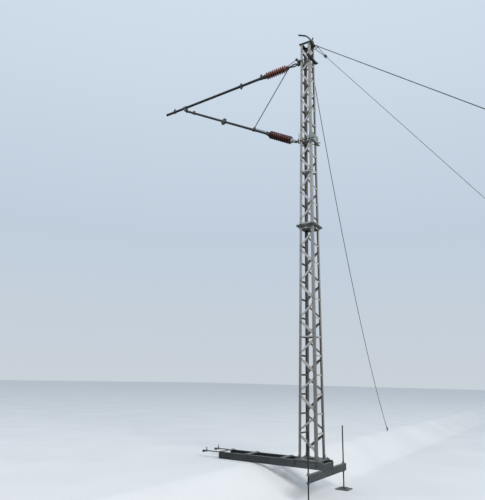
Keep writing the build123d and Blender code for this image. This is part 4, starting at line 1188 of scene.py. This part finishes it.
b = Build()
for e, top, dh in ((V(9550, -2760, -190), V(148, -38, 8338), None), (V(7140, 3760, -190), V(148, 38, 8338), None)):
    d = (e - top).normalized()
    dh = V(d.x, d.y, 0).normalized()
    sd = V(-dh.y, dh.x, 0)
    dd = (-d - sd * (-d).dot(sd)).normalized()
    tip = e + dd * 36
    body0, body1 = tip - d * 70, tip - d * 330
    b.thread(tip - d * 10, body0, 9.2, 3.5, 1.2, 16)
    b.thread(body1, body1 - d * 54, 9.2, 3.5, 1.2, 16)
    b.thread(body0 - d * 29, body0 - d * 92, 8.2, 3.5, 1.2, 16)
    b.thread(body1 + d * 29, body1 + d * 92, 8.2, 3.5, 1.2, 16)
    b.hexa(body0 + d * 2, d, 14, 9, 0.2)
    b.hexa(body1 - d * 2, -d, 14, 9, 0.2)
piece("turnbuckle_threads", b, "tower", "fastener")

# rear rope: three strands on the hanging curve, spliced and whipped at both ends
R0, R1, R2 = V(-34.7, 204.3, 8257.7), V(-543.6, 4063.5, 2749.5), V(-1049.4, 7899.7, 95.6)
n = 2100
curve = [R0 * (1 - t) ** 2 + R1 * (2 * t * (1 - t)) + R2 * t * t for t in [i / n for i in range(n + 1)]]
b = Build()
b.laid(curve, 8.5, 3, 84.0, 7)
piece("rope_strands", b, "tower", "rope", angle=80, stands_for=("stay_rope_rear",))
b = Build()
for a, c in ((curve[0], (curve[6] - curve[0]).normalized()), (curve[-1], (curve[-7] - curve[-1]).normalized())):
    side, upv, _ = axes(c)
    # tucked splice, thicker than the rope and tapering out
    line = [a + c * (4 + 10 * i) for i in range(30)]
    radii = [11.0 - 3.4 * (i / 29) ** 1.4 + 0.9 * math.sin(i * 1.9) for i in range(30)]
    b.sweep(line, 9, 16, radii=radii)
    for s0, rr in ((6.0, 12.4), (286.0, 8.6)):
        for k in range(9):
            cc = a + c * (s0 + k * 2.9)
            loop = [cc + side * (math.cos(2 * math.pi * i / 20) * rr) + upv * (math.sin(2 * math.pi * i / 20) * rr) for i in range(20)]
            b.sweep(loop, 1.6, 6, closed=True)
piece("rope_splices", b, "tower", "rope")

# clamp plates and two bolts round the joining block of the far stay's bridle
def unit(v):
    return Vector(v).normalized()


b = Build()
LB = V(148, 38, 8338)
DB = unit(V(7140, 3760, -190) - LB)
WB = unit(Z - DB * DB.z)
NB = DB.cross(WB)
cb = LB + DB * 337
for k in (-1, 1):
    o = cb + NB * (k * 17.3)
    pts = []
    for i in range(20):
        a = 2 * math.pi * i / 20
        pts.append(o + DB * max(-27, min(27, 32 * math.cos(a))) + WB * max(-19, min(19, 24 * math.sin(a))))
    b.plate(pts, NB * (k * 4))
    for q in (-14, 14):
        b.hexa(o + NB * (k * 4) + DB * q, NB * k, 8.0, 6.0, 0.3)
piece("bridle_clamp", b, "tower", "black", bevel=0.6)

# hexagon cap nut and washers on the arm's ball
b = Build()
kb = V(-210 - 43, 0, 8130)
kd = unit(V(-1, 0, 0.1))
b.lathe(kb - kd * 15, kd, [(25.2, 0), (29, 0), (30, 1.5), (30, 28.5), (29, 30), (25.2, 30)], 6, close=True, phase=0.3)
b.lathe(kb - kd * 19, kd, [(20, 0), (26, 0), (26, 4), (20, 4)], 32, close=True)
b.lathe(kb + kd * 15, kd, [(20, 0), (26, 0), (26, 4), (20, 4)], 32, close=True)
piece("link_arm_nut", b, "cantilever", "black")

# lashing between the horn's post and the two stay rings
b = Build()
for lug_y, k0 in ((-38.0, 0), (38.0, 1)):
    s = -1 if lug_y < 0 else 1
    for k in range(4):
        zt = 8440 + 11.0 * k + 4 * k0
        j = rnd.uniform(-2.0, 2.0)
        off = (k - 1.5) * 9.0
        ring = V(162, lug_y, 8326)
        ctrl = [V(68 + j, 0, zt + 3), V(74, -s * 17, zt + 1), V(92, -s * 24, zt - 2), V(112, -s * 15 + off * 0.3, zt - 8),
                V(134 + k, off * 0.5 - s * 2, zt - 34), V(142 + 2 * k, s * 14 + off * 0.7, 8384 + j), V(158, lug_y * 0.8 + off * 0.5, 8352),
                ring + V(3, off * 0.28, -3), V(150, lug_y + off * 0.4 + s * 4, 8349 - j), V(139 - k, s * 30 + off * 0.7, 8392),
                V(130 - k, s * 26 + off * 0.5, zt - 30), V(110, s * 25, zt - 6), V(90, s * 24, zt), V(74, s * 16, zt + 2)]
        b.sweep(smooth(ctrl, 7, closed=True), 5.6, 10, closed=True)
# frapping turns round the middle of the lashing
for k in range(5):
    c = V(131 + 1.2 * k, 0, 8408 - 8.5 * k)
    w = 24 + 2.0 * k
    ctrl = [c + V(math.cos(t) * 15, math.sin(t) * w, rnd.uniform(-2, 2)) for t in [2 * math.pi * i / 10 for i in range(10)]]
    b.sweep(smooth(ctrl, 5, closed=True), 5.0, 10, closed=True)
piece("head_lashing", b, "tower", "lashing")

# horn: rounded tip, collar at its foot and the foot's bolts
b = Build()
hd = (V(-200, 0, 8718) - V(-62, 0, 8651.7)).normalized()
b.lathe(V(-200, 0, 8718) - hd * 4, hd, [(17.6, 0), (17.4, 3), (15.5, 7), (11, 10), (5, 11.4), (0, 11.8)], 24)
b.lathe(V(90, 0, 8403), Z, [(15.2, 0), (26, 0), (26, 4), (20, 14), (17, 20), (15.2, 20)], 32, close=True)
for x, y in ((64, -13), (64, 13), (112, -13), (112, 13)):
    b.hexa(V(x, y, 8403), Z, 6.5, 5.0, 0.2)
for x, y, z in ((-62, 0, 8651.7),):
    b.sleeve(V(x, y, z) + hd * 0, V(x, y, z) + hd * 14, 14.5, 20, 32, 1.5)
piece("horn_trim", b, "tower", "dark")
